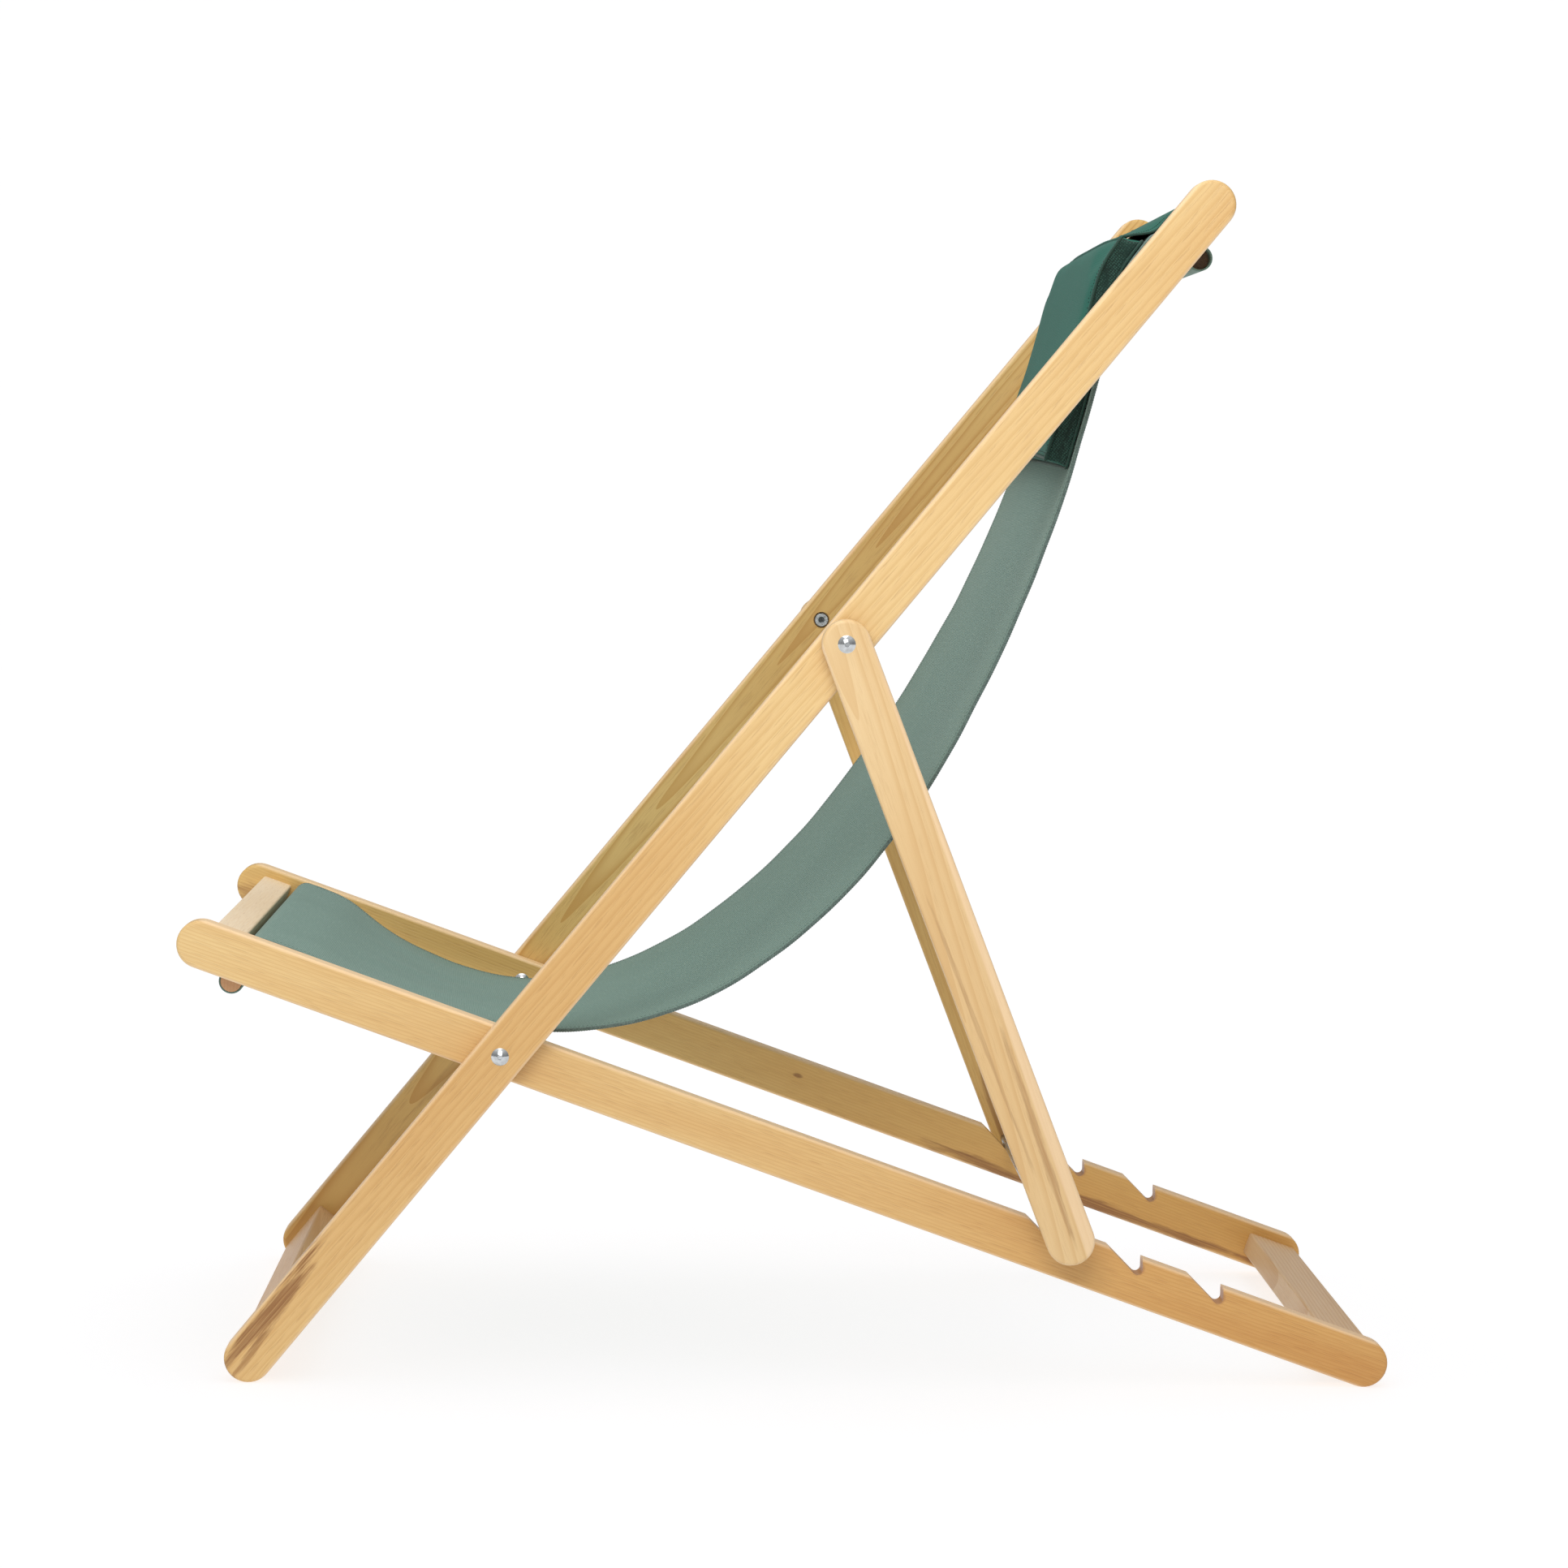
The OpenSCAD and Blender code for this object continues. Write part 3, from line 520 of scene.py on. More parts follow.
def new_piece(name, bm, *materials, smooth=True):
    """Makes an object of a finished bmesh."""
    mesh = bpy.data.meshes.new(name)
    bmesh.ops.recalc_face_normals(bm, faces=bm.faces)
    bm.to_mesh(mesh)
    bm.free()
    for material in materials:
        mesh.materials.append(material)
    mesh.polygons.foreach_set("use_smooth", [smooth] * len(mesh.polygons))
    piece = bpy.data.objects.new(name, mesh)
    bpy.context.scene.collection.objects.link(piece)
    return piece


def solidify(piece, thickness):
    modifier = piece.modifiers.new("thickness", "SOLIDIFY")
    modifier.thickness = thickness
    modifier.offset = 0.0


def subdivide(piece, levels):
    modifier = piece.modifiers.new("smooth", "SUBSURF")
    modifier.levels = modifier.render_levels = levels


def lerp(a, b, share):
    return a + (b - a) * share


def ease(value, low, high):
    """0 below low, 1 above high, and smooth in between."""
    share = min(1.0, max(0.0, (value - low) / (high - low)))
    return share * share * (3 - 2 * share)


def add_grid(bm, grid, uv=None, columns=(), rows=()):
    """Faces between a grid's points. With a UV layer, a point's UV is its place in columns and rows."""
    for j, (here, there) in enumerate(zip(grid, grid[1:])):
        for i in range(len(here) - 1):
            face = bm.faces.new((here[i], here[i + 1], there[i + 1], there[i]))
            if uv:
                corners = ((i, j), (i + 1, j), (i + 1, j + 1), (i, j + 1))
                for loop, (column, row) in zip(face.loops, corners):
                    loop[uv].uv = (columns[column], rows[row])


def add_tube(bm, centres, normals, radii, sides=6, closed=False):
    """A tube along centres. Each normal is a direction out of its side."""
    count = len(centres)
    rings = []
    for i, centre in enumerate(centres):
        ahead = centres[(i + 1) % count] if closed or i + 1 < count else centre
        behind = centres[i - 1] if closed or i > 0 else centre
        heading = (ahead - behind).normalized()
        out = (normals[i] - normals[i].dot(heading) * heading).normalized()
        side = heading.cross(out)
        rings.append([bm.verts.new(centre + radii[i] * (math.cos(a) * out + math.sin(a) * side))
                      for a in (2 * math.pi * k / sides for k in range(sides))])
    for i in range(count if closed else count - 1):
        here, there = rings[i], rings[(i + 1) % count]
        for k in range(sides):
            bm.faces.new((here[k], here[(k + 1) % sides], there[(k + 1) % sides], there[k]))
    if not closed:
        bm.faces.new(rings[0][::-1])
        bm.faces.new(rings[-1])


def add_stitch(bm, centre, heading, normal, length, radius):
    """One stitch: a small bead lying on the cloth, sunk to half its height."""
    side = heading.cross(normal).normalized()
    ends = [bm.verts.new(centre + sign * length / 2 * heading) for sign in (-1, 1)]
    girdle = [bm.verts.new(centre + radius * (math.cos(a) * side + math.sin(a) * normal))
              for a in (math.pi * k / 3 for k in range(6))]
    for k in range(6):
        bm.faces.new((girdle[k], girdle[(k + 1) % 6], ends[1]))
        bm.faces.new((girdle[(k + 1) % 6], girdle[k], ends[0]))


# ---------------------------------------------------------------- the sling


def bezier(hang, t):
    """The free curve of one edge from the front bar to the head bar, in the YZ plane."""
    start = SEAT.point(0, FRONT_BAR.high, FRONT_BAR.top + FABRIC_GAP + CLOTH / 2)
    end = BACK.point(0, HEAD_BAR.low, HEAD_BAR.top + FABRIC_GAP + CLOTH / 2)
    dip, climb = math.radians(hang.dip), math.radians(hang.climb)
    out = start + hang.front_pull * Vector((0, math.cos(dip), -math.sin(dip)))
    back = end - hang.head_pull * Vector((0, math.cos(climb), math.sin(climb)))
    rest = 1 - t
    return rest ** 3 * start + 3 * rest ** 2 * t * out + 3 * rest * t * t * back + t ** 3 * end


def hem_outline(slat, bar, dowel):
    """The cloth at one end, from its seam allowance round the dowel, through the slot and over the bar.

    Points are (distance from the slot's middle towards the bar, rise).
    """
    slot = max(bar.low - slat.high, slat.low - bar.high)
    loop = (dowel.top - dowel.bottom) / 2 + FABRIC_GAP + CLOTH / 2
    middle = (dowel.top + dowel.bottom) / 2
    strip = slot / 2 - FABRIC_GAP - CLOTH / 2
    corner = (slot / 2 + BAR_CORNER, bar.top - BAR_CORNER)
    bend = BAR_CORNER + FABRIC_GAP + CLOTH / 2
    first = math.radians(104)
    last = 2 * math.pi + math.acos(strip / loop)
    neck = middle + loop * math.sin(last)
    points = [(strip - CLOTH * 1.1, neck + HEM_TAIL * share) for share in (1.0, 0.66, 0.33, 0.16)]
    points += [(loop * math.cos(a), middle + loop * math.sin(a))
               for a in (lerp(first, last, i / 30) for i in range(31))]
    points += [(strip, lerp(neck, corner[1], i / 8)) for i in range(1, 8)]
    points += [(corner[0] - bend * math.cos(a), corner[1] + bend * math.sin(a))
               for a in (math.pi / 2 * i / 12 for i in range(13))]
    far_side = slot / 2 + bar.high - bar.low
    points += [(lerp(corner[0], far_side, i / 8), corner[1] + bend) for i in range(1, 8)]
    return points


FRONT_BAR, FRONT_SLAT = SEAT.reach("front_sling_bar"), SEAT.reach("front_slat")
HEAD_BAR, HEAD_SLAT = BACK.reach("head_sling_bar"), BACK.reach("head_slat")
FRONT_SLOT = (FRONT_SLAT.high + FRONT_BAR.low) / 2
HEAD_SLOT = (HEAD_SLAT.low + HEAD_BAR.high) / 2


class Cloth:
    """The sling's middle surface: x across it and v along it, from the front hem to the head hem."""

    def __init__(self):
        front = [SEAT.point(0, FRONT_SLOT + a, rise)
                 for a, rise in hem_outline(FRONT_SLAT, FRONT_BAR, SEAT.reach("front_dowel"))]
        head = [BACK.point(0, HEAD_SLOT - a, rise)
                for a, rise in hem_outline(HEAD_SLAT, HEAD_BAR, BACK.reach("head_dowel"))][::-1]
        steps = [i / WEB_ROWS for i in range(WEB_ROWS + 1)]
        self.near = front + [bezier(NEAR_EDGE, t) for t in steps] + head
        self.far = front + [bezier(FAR_EDGE, t) for t in steps] + head
        for edge in (self.near, self.far):
            for bend in (len(front), len(front) + WEB_ROWS):
                self.round_off(edge, bend)
        middle = [(a + b) / 2 for a, b in zip(self.near, self.far)]
        self.v = [0.0]
        for a, b in zip(middle, middle[1:]):
            self.v.append(self.v[-1] + (b - a).length)
        self.web_start = self.v[len(front)]
        self.web_end = self.v[len(front) + WEB_ROWS]
        self.length = self.v[-1]

    @staticmethod
    def round_off(edge, bend):
        """Lets the cloth leave a bar in a soft curve, lifted clear of the bar's corner."""
        for _ in range(30):
            softer = [(edge[i - 1] + 2 * edge[i] + edge[i + 1]) / 4 for i in range(bend - 5, bend + 6)]
            edge[bend - 5:bend + 6] = softer
        heading = (edge[bend + 4] - edge[bend - 4]).normalized()
        for i in range(-9, 10):
            edge[bend + i] += CORNER_LIFT * math.exp(-(i / 4) ** 2) * Vector((0, -heading.z, heading.y))

    def bare(self, x, row):
        """A point and its upward normal before ripples, at a whole or fractional row."""
        i = min(int(row), len(self.v) - 2)
        share = x / (2 * SLING_HALF) + 0.5
        ends = [lerp(self.far[k], self.near[k], share) for k in (i, i + 1)]
        before = lerp(self.far[max(i - 1, 0)], self.near[max(i - 1, 0)], share)
        after_row = min(i + 2, len(self.v) - 1)
        after = lerp(self.far[after_row], self.near[after_row], share)
        part = row - i
        into, out = (ends[1] - before).normalized(), (after - ends[0]).normalized()
        heading = lerp(into, out, part).normalized()
        point = lerp(ends[0], ends[1], part)
        return point + Vector((x, 0, 0)), heading, Vector((0, -heading.z, heading.y))

    def ripple(self, x, v):
        """How far the cloth stands off its smooth shape."""
        into = v - self.web_start
        left = self.web_end - v
        if into <= 0 or left <= 0:
            return 0.0
        free = ease(into, 0.0, 0.10) * ease(left, 0.0, 0.20)
        edge = ease(abs(x), SLING_HALF - WAVY_EDGE, SLING_HALF)
        side = 0.7 if x > 0 else -0.4
        wave = math.sin(v * 47 + side) + 0.7 * math.sin(v * 83 + 1.9 * side) + 0.4 * math.sin(v * 131)
        pulls = ease(into, 0.01, 0.06) * (1 - ease(into, 0.10, 0.30))
        folds = math.sin(x * 62 - into * 38 + 0.6) + 0.8 * math.sin(x * 107 + into * 24 + 2.0)
        soft = math.sin(x * 17 + v * 9) * math.sin(v * 13 - x * 6 + 0.8)
        return free * edge * wave * EDGE_WAVE + pulls * folds * PULLS + free * soft * BUMPS

    def at(self, x, v):
        """Point, heading and normal on the rippled cloth."""
        v = min(max(v, 0.0), self.length)
        i = min(bisect_right(self.v, v) - 1, len(self.v) - 2)
        row = i + (v - self.v[i]) / max(self.v[i + 1] - self.v[i], 1e-9)
        point, heading, normal = self.bare(x, row)
        return point + self.ripple(x, v) * normal, heading, normal


cloth = Cloth()


def build_sling():
    bm = bmesh.new()
    uv = bm.loops.layers.uv.new("cloth")
    columns = [lerp(-SLING_HALF, SLING_HALF, i / SLING_COLUMNS) for i in range(SLING_COLUMNS + 1)]
    grid = [[bm.verts.new(cloth.at(x, v)[0]) for x in columns] for v in cloth.v]
    add_grid(bm, grid, uv, columns, cloth.v)
    piece = new_piece("sling_cloth", bm, SLING_CLOTH)
    solidify(piece, CLOTH)
    return piece


def build_side_hems():
    """The side hems: cloth turned under and lying against the sling's back."""
    bm = bmesh.new()
    uv = bm.loops.layers.uv.new("cloth")
    start, end = cloth.web_start - HEM_REACH, cloth.web_end + HEM_REACH
    rows = [v for v in cloth.v if start <= v <= end]
    for side in (-1, 1):
        inner = SLING_HALF - HEM_TURN_IN
        columns = [side * x for x in (SLING_HALF - 0.0003, lerp(inner, SLING_HALF, 0.5), inner)]
        grid = []
        for v in rows:
            line = []
            for x in columns:
                point, _, normal = cloth.at(x, v)
                line.append(bm.verts.new(point - 1.02 * CLOTH * normal))
            grid.append(line)
        add_grid(bm, grid, uv, columns, rows)
    piece = new_piece("sling_side_hems", bm, SLING_CLOTH)
    solidify(piece, CLOTH * 0.9)
    return piece


def build_selvedge():
    """Overlocked edges: thread wound round each side of the cloth, thicker at every stitch."""
    bm = bmesh.new()
    start, end = cloth.web_start - SELVEDGE_REACH, cloth.web_end + SELVEDGE_REACH
    count = round((end - start) / TOOTH) * len(SELVEDGE_RADII)
    for side in (-1, 1):
        centres, normals, radii = [], [], []
        for i in range(count + 1):
            point, _, normal = cloth.at(side * (SLING_HALF + 0.0002), lerp(start, end, i / count))
            centres.append(point - CLOTH / 2 * normal)
            normals.append(normal)
            radii.append(SELVEDGE_RADII[i % len(SELVEDGE_RADII)])
        add_tube(bm, centres, normals, radii)
    return new_piece("sling_selvedge", bm, EDGE_THREAD)


def build_sling_stitches():
    """Two rows of side stitches on both faces, and the seams that close the dowel pockets."""
    bm = bmesh.new()
    start, end = cloth.web_start - SEAM_REACH, cloth.web_end + SEAM_REACH
    count = int((end - start) / SIDE_STITCH)
    for side in (-1, 1):
        x = side * (SLING_HALF - HEM_TURN_IN + SIDE_STITCH_INSET)
        for i in range(count):
            point, heading, normal = cloth.at(x, start + i * SIDE_STITCH)
            for face, depth in ((1, CLOTH / 2), (-1, CLOTH * 1.5)):
                add_stitch(bm, point + face * depth * normal, heading, face * normal, *SLING_STITCH)
    across = Vector((1, 0, 0))
    columns = int(2 * SLING_HALF / SIDE_STITCH)
    for v in (HEM_TAIL * 0.6, cloth.length - HEM_TAIL * 0.6):
        for i in range(1, columns):
            point, _, normal = cloth.at(i * SIDE_STITCH - SLING_HALF, v)
            add_stitch(bm, point - CLOTH / 2 * normal, across, normal, *SLING_STITCH)
    return new_piece("sling_stitches", bm, SLING_THREAD)


# ---------------------------------------------------------------- the headrest pillow

PILLOW_ACROSS = 84
PILLOW_DOWNWARD = 40
BOXING_ROWS = 4
PILLOW_TOP_V = cloth.web_end + PILLOW_ON_BAR
PILLOW_LENGTH = PILLOW_ON_BAR + PILLOW_DOWN
PANEL_POINTS = (PILLOW_ACROSS + 1) * (PILLOW_DOWNWARD + 1)
BACK_POINTS = range(PANEL_POINTS)
FRONT_POINTS = range(PANEL_POINTS, 2 * PANEL_POINTS)


def pillow_point(across, down, height):
    """A point of the pillow before it is filled.

    across is -1..1, down is 0 at the top edge and 1 at the bottom, and height is 0 at the back and 1 in
    front.
    """
    waist = 1 - PILLOW_WAIST * math.sin(math.pi * down)
    x = across * PILLOW_HALF * waist
    v = PILLOW_TOP_V - PILLOW_LENGTH * down * (1 - PILLOW_BOW * (1 - across * across))
    v += PILLOW_TOP_LEAN * (1 - height) * max(0.0, 1 - 6 * down)
    point, _, upward = cloth.at(x, v)
    leaning = sum((cloth.at(x, v + k * 0.009)[2] for k in (-3, -2, -1, 0, 1, 2)), Vector()).normalized()
    top = lerp(PILLOW_TOP_T, PILLOW_END_T, across ** 6)
    boxing = lerp(top, PILLOW_BOTTOM_T, ease(down, 0.0, 1.0))
    crown = PILLOW_CROWN * (1 - across ** 4) * (1 - (2 * down - 1) ** 8)
    crown += PILLOW_RIDGE * (1 - across ** 6) * math.exp(-((down - RIDGE_PLACE) / RIDGE_PLACE) ** 2)
    return point + upward * (CLOTH / 2 + PILLOW_GAP) + leaning * height * (boxing + crown)


def build_pillow_form():
    """The pillow's cut pieces, sewn but not yet filled. Returns it with its front and back seams."""
    bm = bmesh.new()
    across = [2 * i / PILLOW_ACROSS - 1 for i in range(PILLOW_ACROSS + 1)]
    downward = [j / PILLOW_DOWNWARD for j in range(PILLOW_DOWNWARD + 1)]
    panels = [[[bm.verts.new(pillow_point(x, down, height)) for x in across] for down in downward]
              for height in (0.0, 1.0)]
    for panel in panels:
        add_grid(bm, panel)

    def rim(panel):
        top, bottom = panel[0], panel[-1]
        right = [row[-1] for row in panel[1:-1]]
        left = [row[0] for row in panel[1:-1]]
        return top + right + bottom[::-1] + left[::-1]

    rims = [rim(panel) for panel in panels]
    levels = [rims[0]]
    for k in range(1, BOXING_ROWS):
        share = k / BOXING_ROWS
        levels.append([bm.verts.new(lerp(a.co, b.co, share)) for a, b in zip(*rims)])
    levels.append(rims[1])
    size = len(rims[0])
    for low, high in zip(levels, levels[1:]):
        for i in range(size):
            face = bm.faces.new((low[i], low[(i + 1) % size], high[(i + 1) % size], high[i]))
            on_side = PILLOW_ACROSS <= i < PILLOW_ACROSS + PILLOW_DOWNWARD
            on_far_side = i >= 2 * PILLOW_ACROSS + PILLOW_DOWNWARD
            face.material_index = 1 if on_side or on_far_side else 0
    bm.verts.index_update()
    seams = [[v.index for v in loop] for loop in rims]
    return new_piece("pillow", bm, PILLOW_CLOTH, PILLOW_MESH), seams


def fill(piece, back, most):
    """Lets the filling push the front out, each point by `most` at the furthest. The back lies still."""
    rest = [v.co.copy() for v in piece.data.vertices]
    modifier = piece.modifiers.new("filling", "CLOTH")
    settings = modifier.settings
    settings.quality = 6
    settings.mass = 0.25
    settings.tension_stiffness = settings.compression_stiffness = 18
    settings.bending_stiffness = 0.8
    settings.use_pressure = True
    settings.uniform_pressure_force = 4.0
    settings.effector_weights.gravity = 0.0
    piece.vertex_groups.new(name="back").add(back, 1.0, "REPLACE")
    settings.vertex_group_mass = "back"
    scene = bpy.context.scene
    for step in range(1, 21):
        scene.frame_set(step)
    depsgraph = bpy.context.evaluated_depsgraph_get()
    pushed = [v.co.copy() for v in piece.evaluated_get(depsgraph).data.vertices]
    piece.modifiers.remove(modifier)
    piece.vertex_groups.clear()
    scene.frame_set(1)
    for vertex, start, end in zip(piece.data.vertices, rest, pushed):
        move = end - start
        vertex.co = start + move * min(1.0, most / max(move.length, 1e-9))
    piece.data.update()


def add_piping(bm, piece, seam, outward):
    """A piped seam along a loop of the pillow's points."""
    points = [piece.data.vertices[i].co.copy() for i in seam]
    size = len(points)
    smooth = [(points[i - 1] + 2 * points[i] + points[(i + 1) % size]) / 4 for i in range(size)]
    radii = [PIPING * (1.0 + 0.10 * math.sin(i * 2.1)) for i in range(size)]
    add_tube(bm, smooth, [outward(p) for p in smooth], radii, PIPING_SIDES, closed=True)


def settle(piece, still, rounds):
    """Evens out the small wrinkles of the filled cloth, away from its seams."""
    bm = bmesh.new()
    bm.from_mesh(piece.data)
    bm.verts.ensure_lookup_table()
    loose = [v for v in bm.verts if v.index not in still]
    for _ in range(rounds):
        bmesh.ops.smooth_vert(bm, verts=loose, factor=0.5,
                              use_axis_x=True, use_axis_y=True, use_axis_z=True)
    bm.to_mesh(piece.data)
    bm.free()


def build_pillow():
    """The pillow and its seams. Also returns the line of its front seam along the top edge."""
    piece, (back_seam, front_seam) = build_pillow_form()
    fill(piece, list(BACK_POINTS), PILLOW_SWELL)
    settle(piece, {*BACK_POINTS, *front_seam}, 4)
    places = piece.data.vertices
    bm = bmesh.new()
    for seam in (front_seam, back_seam):
        add_piping(bm, piece, seam, lambda p: BACK.up)
    bm.faces.ensure_lookup_table()
    along_top = bm.faces[:PIPING_SIDES * PILLOW_ACROSS]
    for face in along_top:
        face.material_index = 1
    centre = sum((places[i].co for i in front_seam), Vector()) / len(front_seam)
    for i in range(PILLOW_ACROSS, len(front_seam)):
        index = front_seam[i]
        here, there = places[index].co, places[front_seam[(i + 1) % len(front_seam)]].co
        heading = (there - here).normalized()
        outward = (places[index].normal + BACK.up).normalized()
        inward = outward.cross(heading).normalized()
        inward = inward if inward.dot(centre - here) > 0 else -inward
        for share in (0.0, 0.5):
            at = lerp(here, there, share) + PILLOW_SEAM_INSET * inward
            near = min(FRONT_POINTS, key=lambda k: (places[k].co - at).length)
            at = at + (places[near].co - at).dot(outward) * outward + 0.0002 * outward
            add_stitch(bm, at, heading, outward, *PILLOW_STITCH)
    seams = new_piece("pillow_seams", bm, PILLOW_THREAD, PILLOW_CLOTH)
    top_line = [places[i].co.copy() for i in front_seam[:PILLOW_ACROSS + 1]]
    subdivide(piece, 1)
    return piece, seams, top_line


# ---------------------------------------------------------------- the flap that holds the pillow


def flap_outline(start):
    """The flap's line, from a point of the pillow's seam over the head slat and down behind it.

    Points are (along, rise) on the back frame.
    """
    off = FLAP_T / 2 + FLAP_GAP
    edge = (HEAD_SLAT.high + off, HEAD_SLAT.top + off)
    corner = (edge[0] - FLAP_BEND, edge[1] - FLAP_BEND)
    points = []
    for i in range(FLAP_SPAN_STEPS + 1):
        share = i / FLAP_SPAN_STEPS
        sag = -FLAP_SAG * math.sin(math.pi * share)
        points.append((lerp(start[0], corner[0], share), lerp(start[1], edge[1], share) + sag))
    points += [(corner[0] + FLAP_BEND * math.sin(a), corner[1] + FLAP_BEND * math.cos(a))
               for a in (math.pi / 2 * i / 4 for i in range(1, 5))]
    lowest = HEAD_SLAT.bottom - FLAP_BELOW
    points += [(edge[0] + 0.0012 * math.sin(i * 0.5), lerp(corner[1], lowest, i / 8))
               for i in range(1, 9)]
    return points


def flap_grid(top_line):
    """The flap's points, row by row, from the seam that it is sewn into."""
    columns = []
    for seam in top_line:
        x = seam.x * FLAP_HALF / PILLOW_HALF
        place = seam - BACK.origin
        line = flap_outline((place.dot(BACK.along), place.dot(BACK.up)))
        column = []
        for j, (along, rise) in enumerate(line):
            free = math.sin(math.pi * min(1.0, j / FLAP_SPAN_STEPS)) ** 0.7
            at_corner = math.exp(-((abs(x) - FLAP_HALF) / FLAP_CORNER) ** 2)
            droop = FLAP_DROOP * at_corner * math.exp(-((j - 6) / 4.0) ** 2)
            slack = 0.0007 * math.sin(x * 46 + 0.5) + 0.0004 * math.sin(x * 97 + along * 60)
            narrow = 1 - 0.008 * math.sin(math.pi * j / (len(line) - 1))
            column.append(BACK.point(x * narrow, along, rise + free * slack - droop))
        columns.append(column)
    return [list(row) for row in zip(*columns)]


def build_flap(rows):
    bm = bmesh.new()
    grid = [[bm.verts.new(point) for point in row] for row in rows]
    add_grid(bm, grid)
    piece = new_piece("pillow_flap", bm, PILLOW_CLOTH)
    solidify(piece, FLAP_T)
    subdivide(piece, 1)
    return piece


def build_flap_stitches(rows):
    """Stitches along the flap's sides and lower hem, and its bound side edges."""
    bm = bmesh.new()
    for side in (1, -1):
        inset = [lerp(row[::-side][0], row[::-side][3], 0.45) for row in rows[1:]]
        for here, there in zip(inset, inset[1:]):
            heading = (there - here).normalized()
            out = Vector((1, 0, 0)).cross(heading)
            out = out if out.dot(BACK.up + BACK.along) > 0 else -out
            for share in (0.0, 0.5):
                at = lerp(here, there, share) + FLAP_T / 2 * out
                add_stitch(bm, at, heading, out, *FLAP_STITCH)
        border = [row[::-side][0] for row in rows]
        add_tube(bm, border, [Vector((side, 0, 0))] * len(border), [FLAP_BORDER] * len(border))
    hem = rows[-3]
    for here, there in zip(hem, hem[1:]):
        heading = (there - here).normalized()
        for share in (0.0, 0.5):
            at = lerp(here, there, share) + FLAP_T / 2 * BACK.along
            add_stitch(bm, at, heading, BACK.along, *FLAP_STITCH)
    return new_piece("pillow_flap_stitches", bm, PILLOW_THREAD)


# ---------------------------------------------------------------- pieces on their bodies

sling = build_sling()
hems = build_side_hems()
selvedge = build_selvedge()
stitches = build_sling_stitches()
pillow, pillow_seams, pillow_top = build_pillow()
flap_rows = flap_grid(pillow_top)
flap = build_flap(flap_rows)
flap_stitches = build_flap_stitches(flap_rows)

# The sling's pieces keep the world's frame, and the CAD sling is hidden.
for piece in (sling, hems, selvedge, stitches):
    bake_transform(piece)
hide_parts("sling")

for piece in (pillow, pillow_seams, flap, flap_stitches):
    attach(piece, "back_frame")
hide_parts("headrest_cushion")
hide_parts("headrest_flap")
for piece in (pillow, pillow_seams):
    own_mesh(piece)

# ---------------------------------------------------------------- floor, light and camera


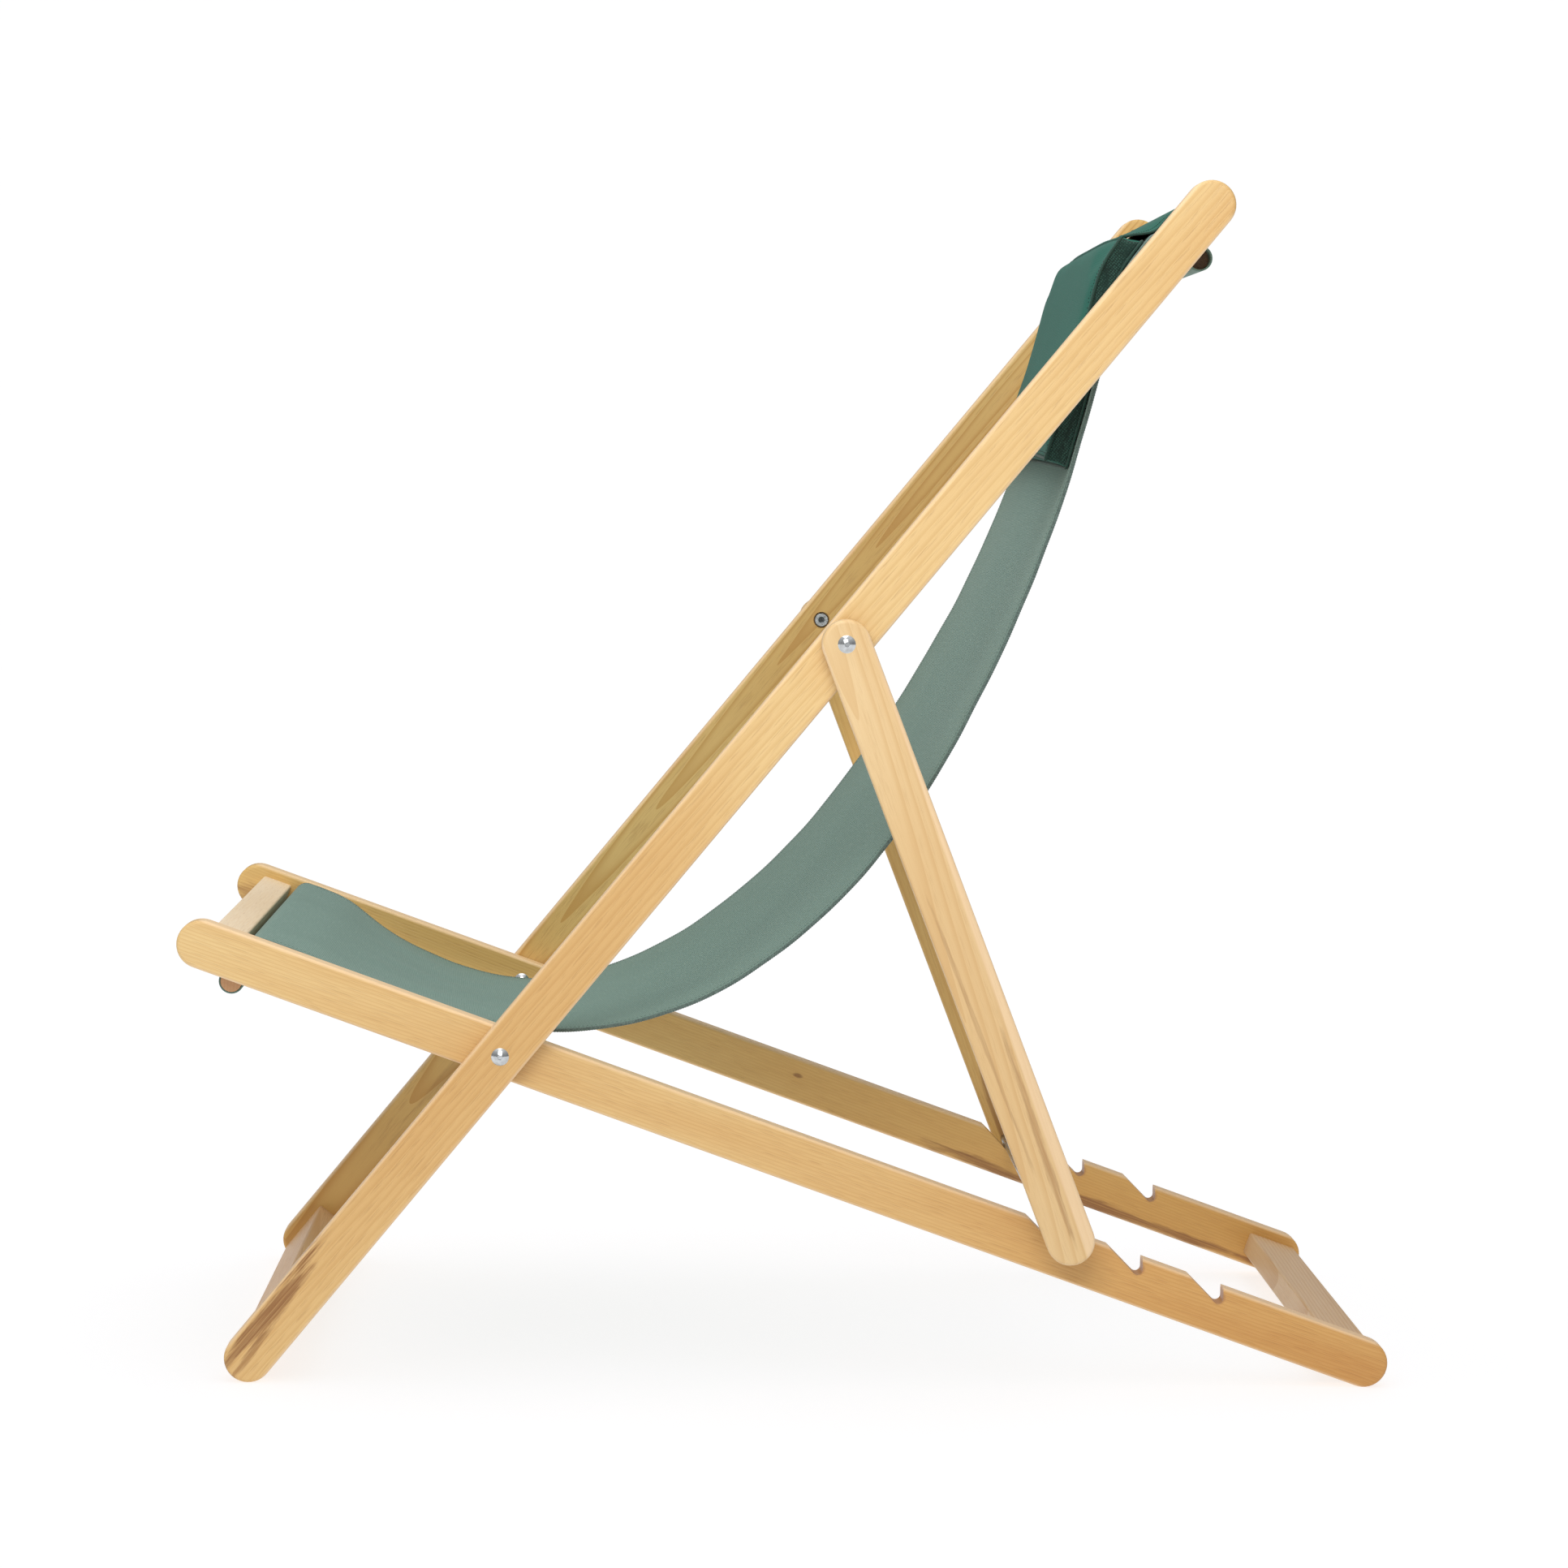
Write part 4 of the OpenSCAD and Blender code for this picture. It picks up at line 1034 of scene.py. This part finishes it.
def build_floor():
    """A pale floor, just below the chair, and a white backdrop all round that only the camera sees."""
    bm = bmesh.new()
    half = 12.0
    quadrants = ((-1, -1), (1, -1), (1, 1), (-1, 1))
    bm.faces.new([bm.verts.new((x * half, y * half, -0.0002)) for x, y in quadrants])
    floor = new_piece("floor", bm, smooth=False)
    s = Shader("floor_white", Roughness=0.9, Specular_IOR_Level=0.1, Emission_Strength=0.73)
    s.surface.inputs["Emission Color"].default_value = (1, 1, 1, 1)
    speckle = s.noise(s.add("TexCoord", output=3), (3, 3, 3), 2.0)
    s.paint(s.ramp(speckle, (0.3, colour("B0B0B4")), (0.7, colour("B2B2B6"))))
    floor.data.materials.append(s.material)
    bm = bmesh.new()
    bmesh.ops.create_icosphere(bm, subdivisions=4, radius=11.0)
    backdrop = new_piece("backdrop", bm)
    s = Shader("backdrop_white", Roughness=1.0, Emission_Strength=1.0)
    s.surface.inputs["Emission Color"].default_value = (1, 1, 1, 1)
    s.surface.inputs["Base Color"].default_value = (0, 0, 0, 1)
    backdrop.data.materials.append(s.material)
    for ray in ("diffuse", "glossy", "transmission", "volume_scatter", "shadow"):
        setattr(backdrop, "visible_" + ray, False)
    return floor


def add_softbox(name, place, aim, size, power, not_on):
    """A square light that the camera doesn't see, and that leaves one object unlit."""
    light = bpy.data.lights.new(name, "AREA")
    light.shape = "SQUARE"
    light.size = size
    light.energy = power
    box = bpy.data.objects.new(name, light)
    box.location = place
    box.rotation_euler = (Vector(aim) - Vector(place)).to_track_quat("-Z", "Y").to_euler()
    box.visible_camera = False
    bpy.context.scene.collection.objects.link(box)
    unlit = bpy.data.collections.new(name + "_unlit")
    unlit.objects.link(not_on)
    unlit.collection_objects[0].light_linking.link_state = "EXCLUDE"
    box.light_linking.receiver_collection = unlit


def build_light(floor):
    add_softbox("key_softbox", (1.85, -0.25, 1.55), (0, 0, 0.45), 1.2, 21, floor)
    add_softbox("top_softbox", (0.3, -0.3, 2.6), (0, 0, 0), 1.6, 14, floor)
    world = bpy.data.worlds.new("studio")
    world.use_nodes = True
    nodes, links = world.node_tree.nodes, world.node_tree.links
    height = nodes.new("ShaderNodeSeparateXYZ")
    ramp = nodes.new("ShaderNodeValToRGB")
    links.new(nodes.new("ShaderNodeTexCoord").outputs["Generated"], height.inputs[0])
    links.new(height.outputs[2], ramp.inputs[0])
    links.new(ramp.outputs[0], nodes["Background"].inputs["Color"])
    stops = ((0.0, 0.30), (0.35, 0.42), (1.0, 0.92))
    ramp.color_ramp.elements.new(0.5)
    for element, (place, level) in zip(ramp.color_ramp.elements, stops):
        element.position = place
        element.color = (level, level, level, 1)
    bpy.context.scene.world = world
    bpy.context.scene.view_settings.view_transform = "Standard"


def build_camera():
    data = bpy.data.cameras.new("camera")
    data.lens = 89.4
    data.sensor_width = 36.0
    data.clip_end = 60.0
    camera = bpy.data.objects.new("camera", data)
    camera.location = (3.4233, -0.1076, 0.7532)
    camera.rotation_euler = Euler([math.radians(a) for a in (85.434, -0.962, 88.285)])
    bpy.context.scene.collection.objects.link(camera)
    bpy.context.scene.camera = camera


build_light(build_floor())
build_camera()
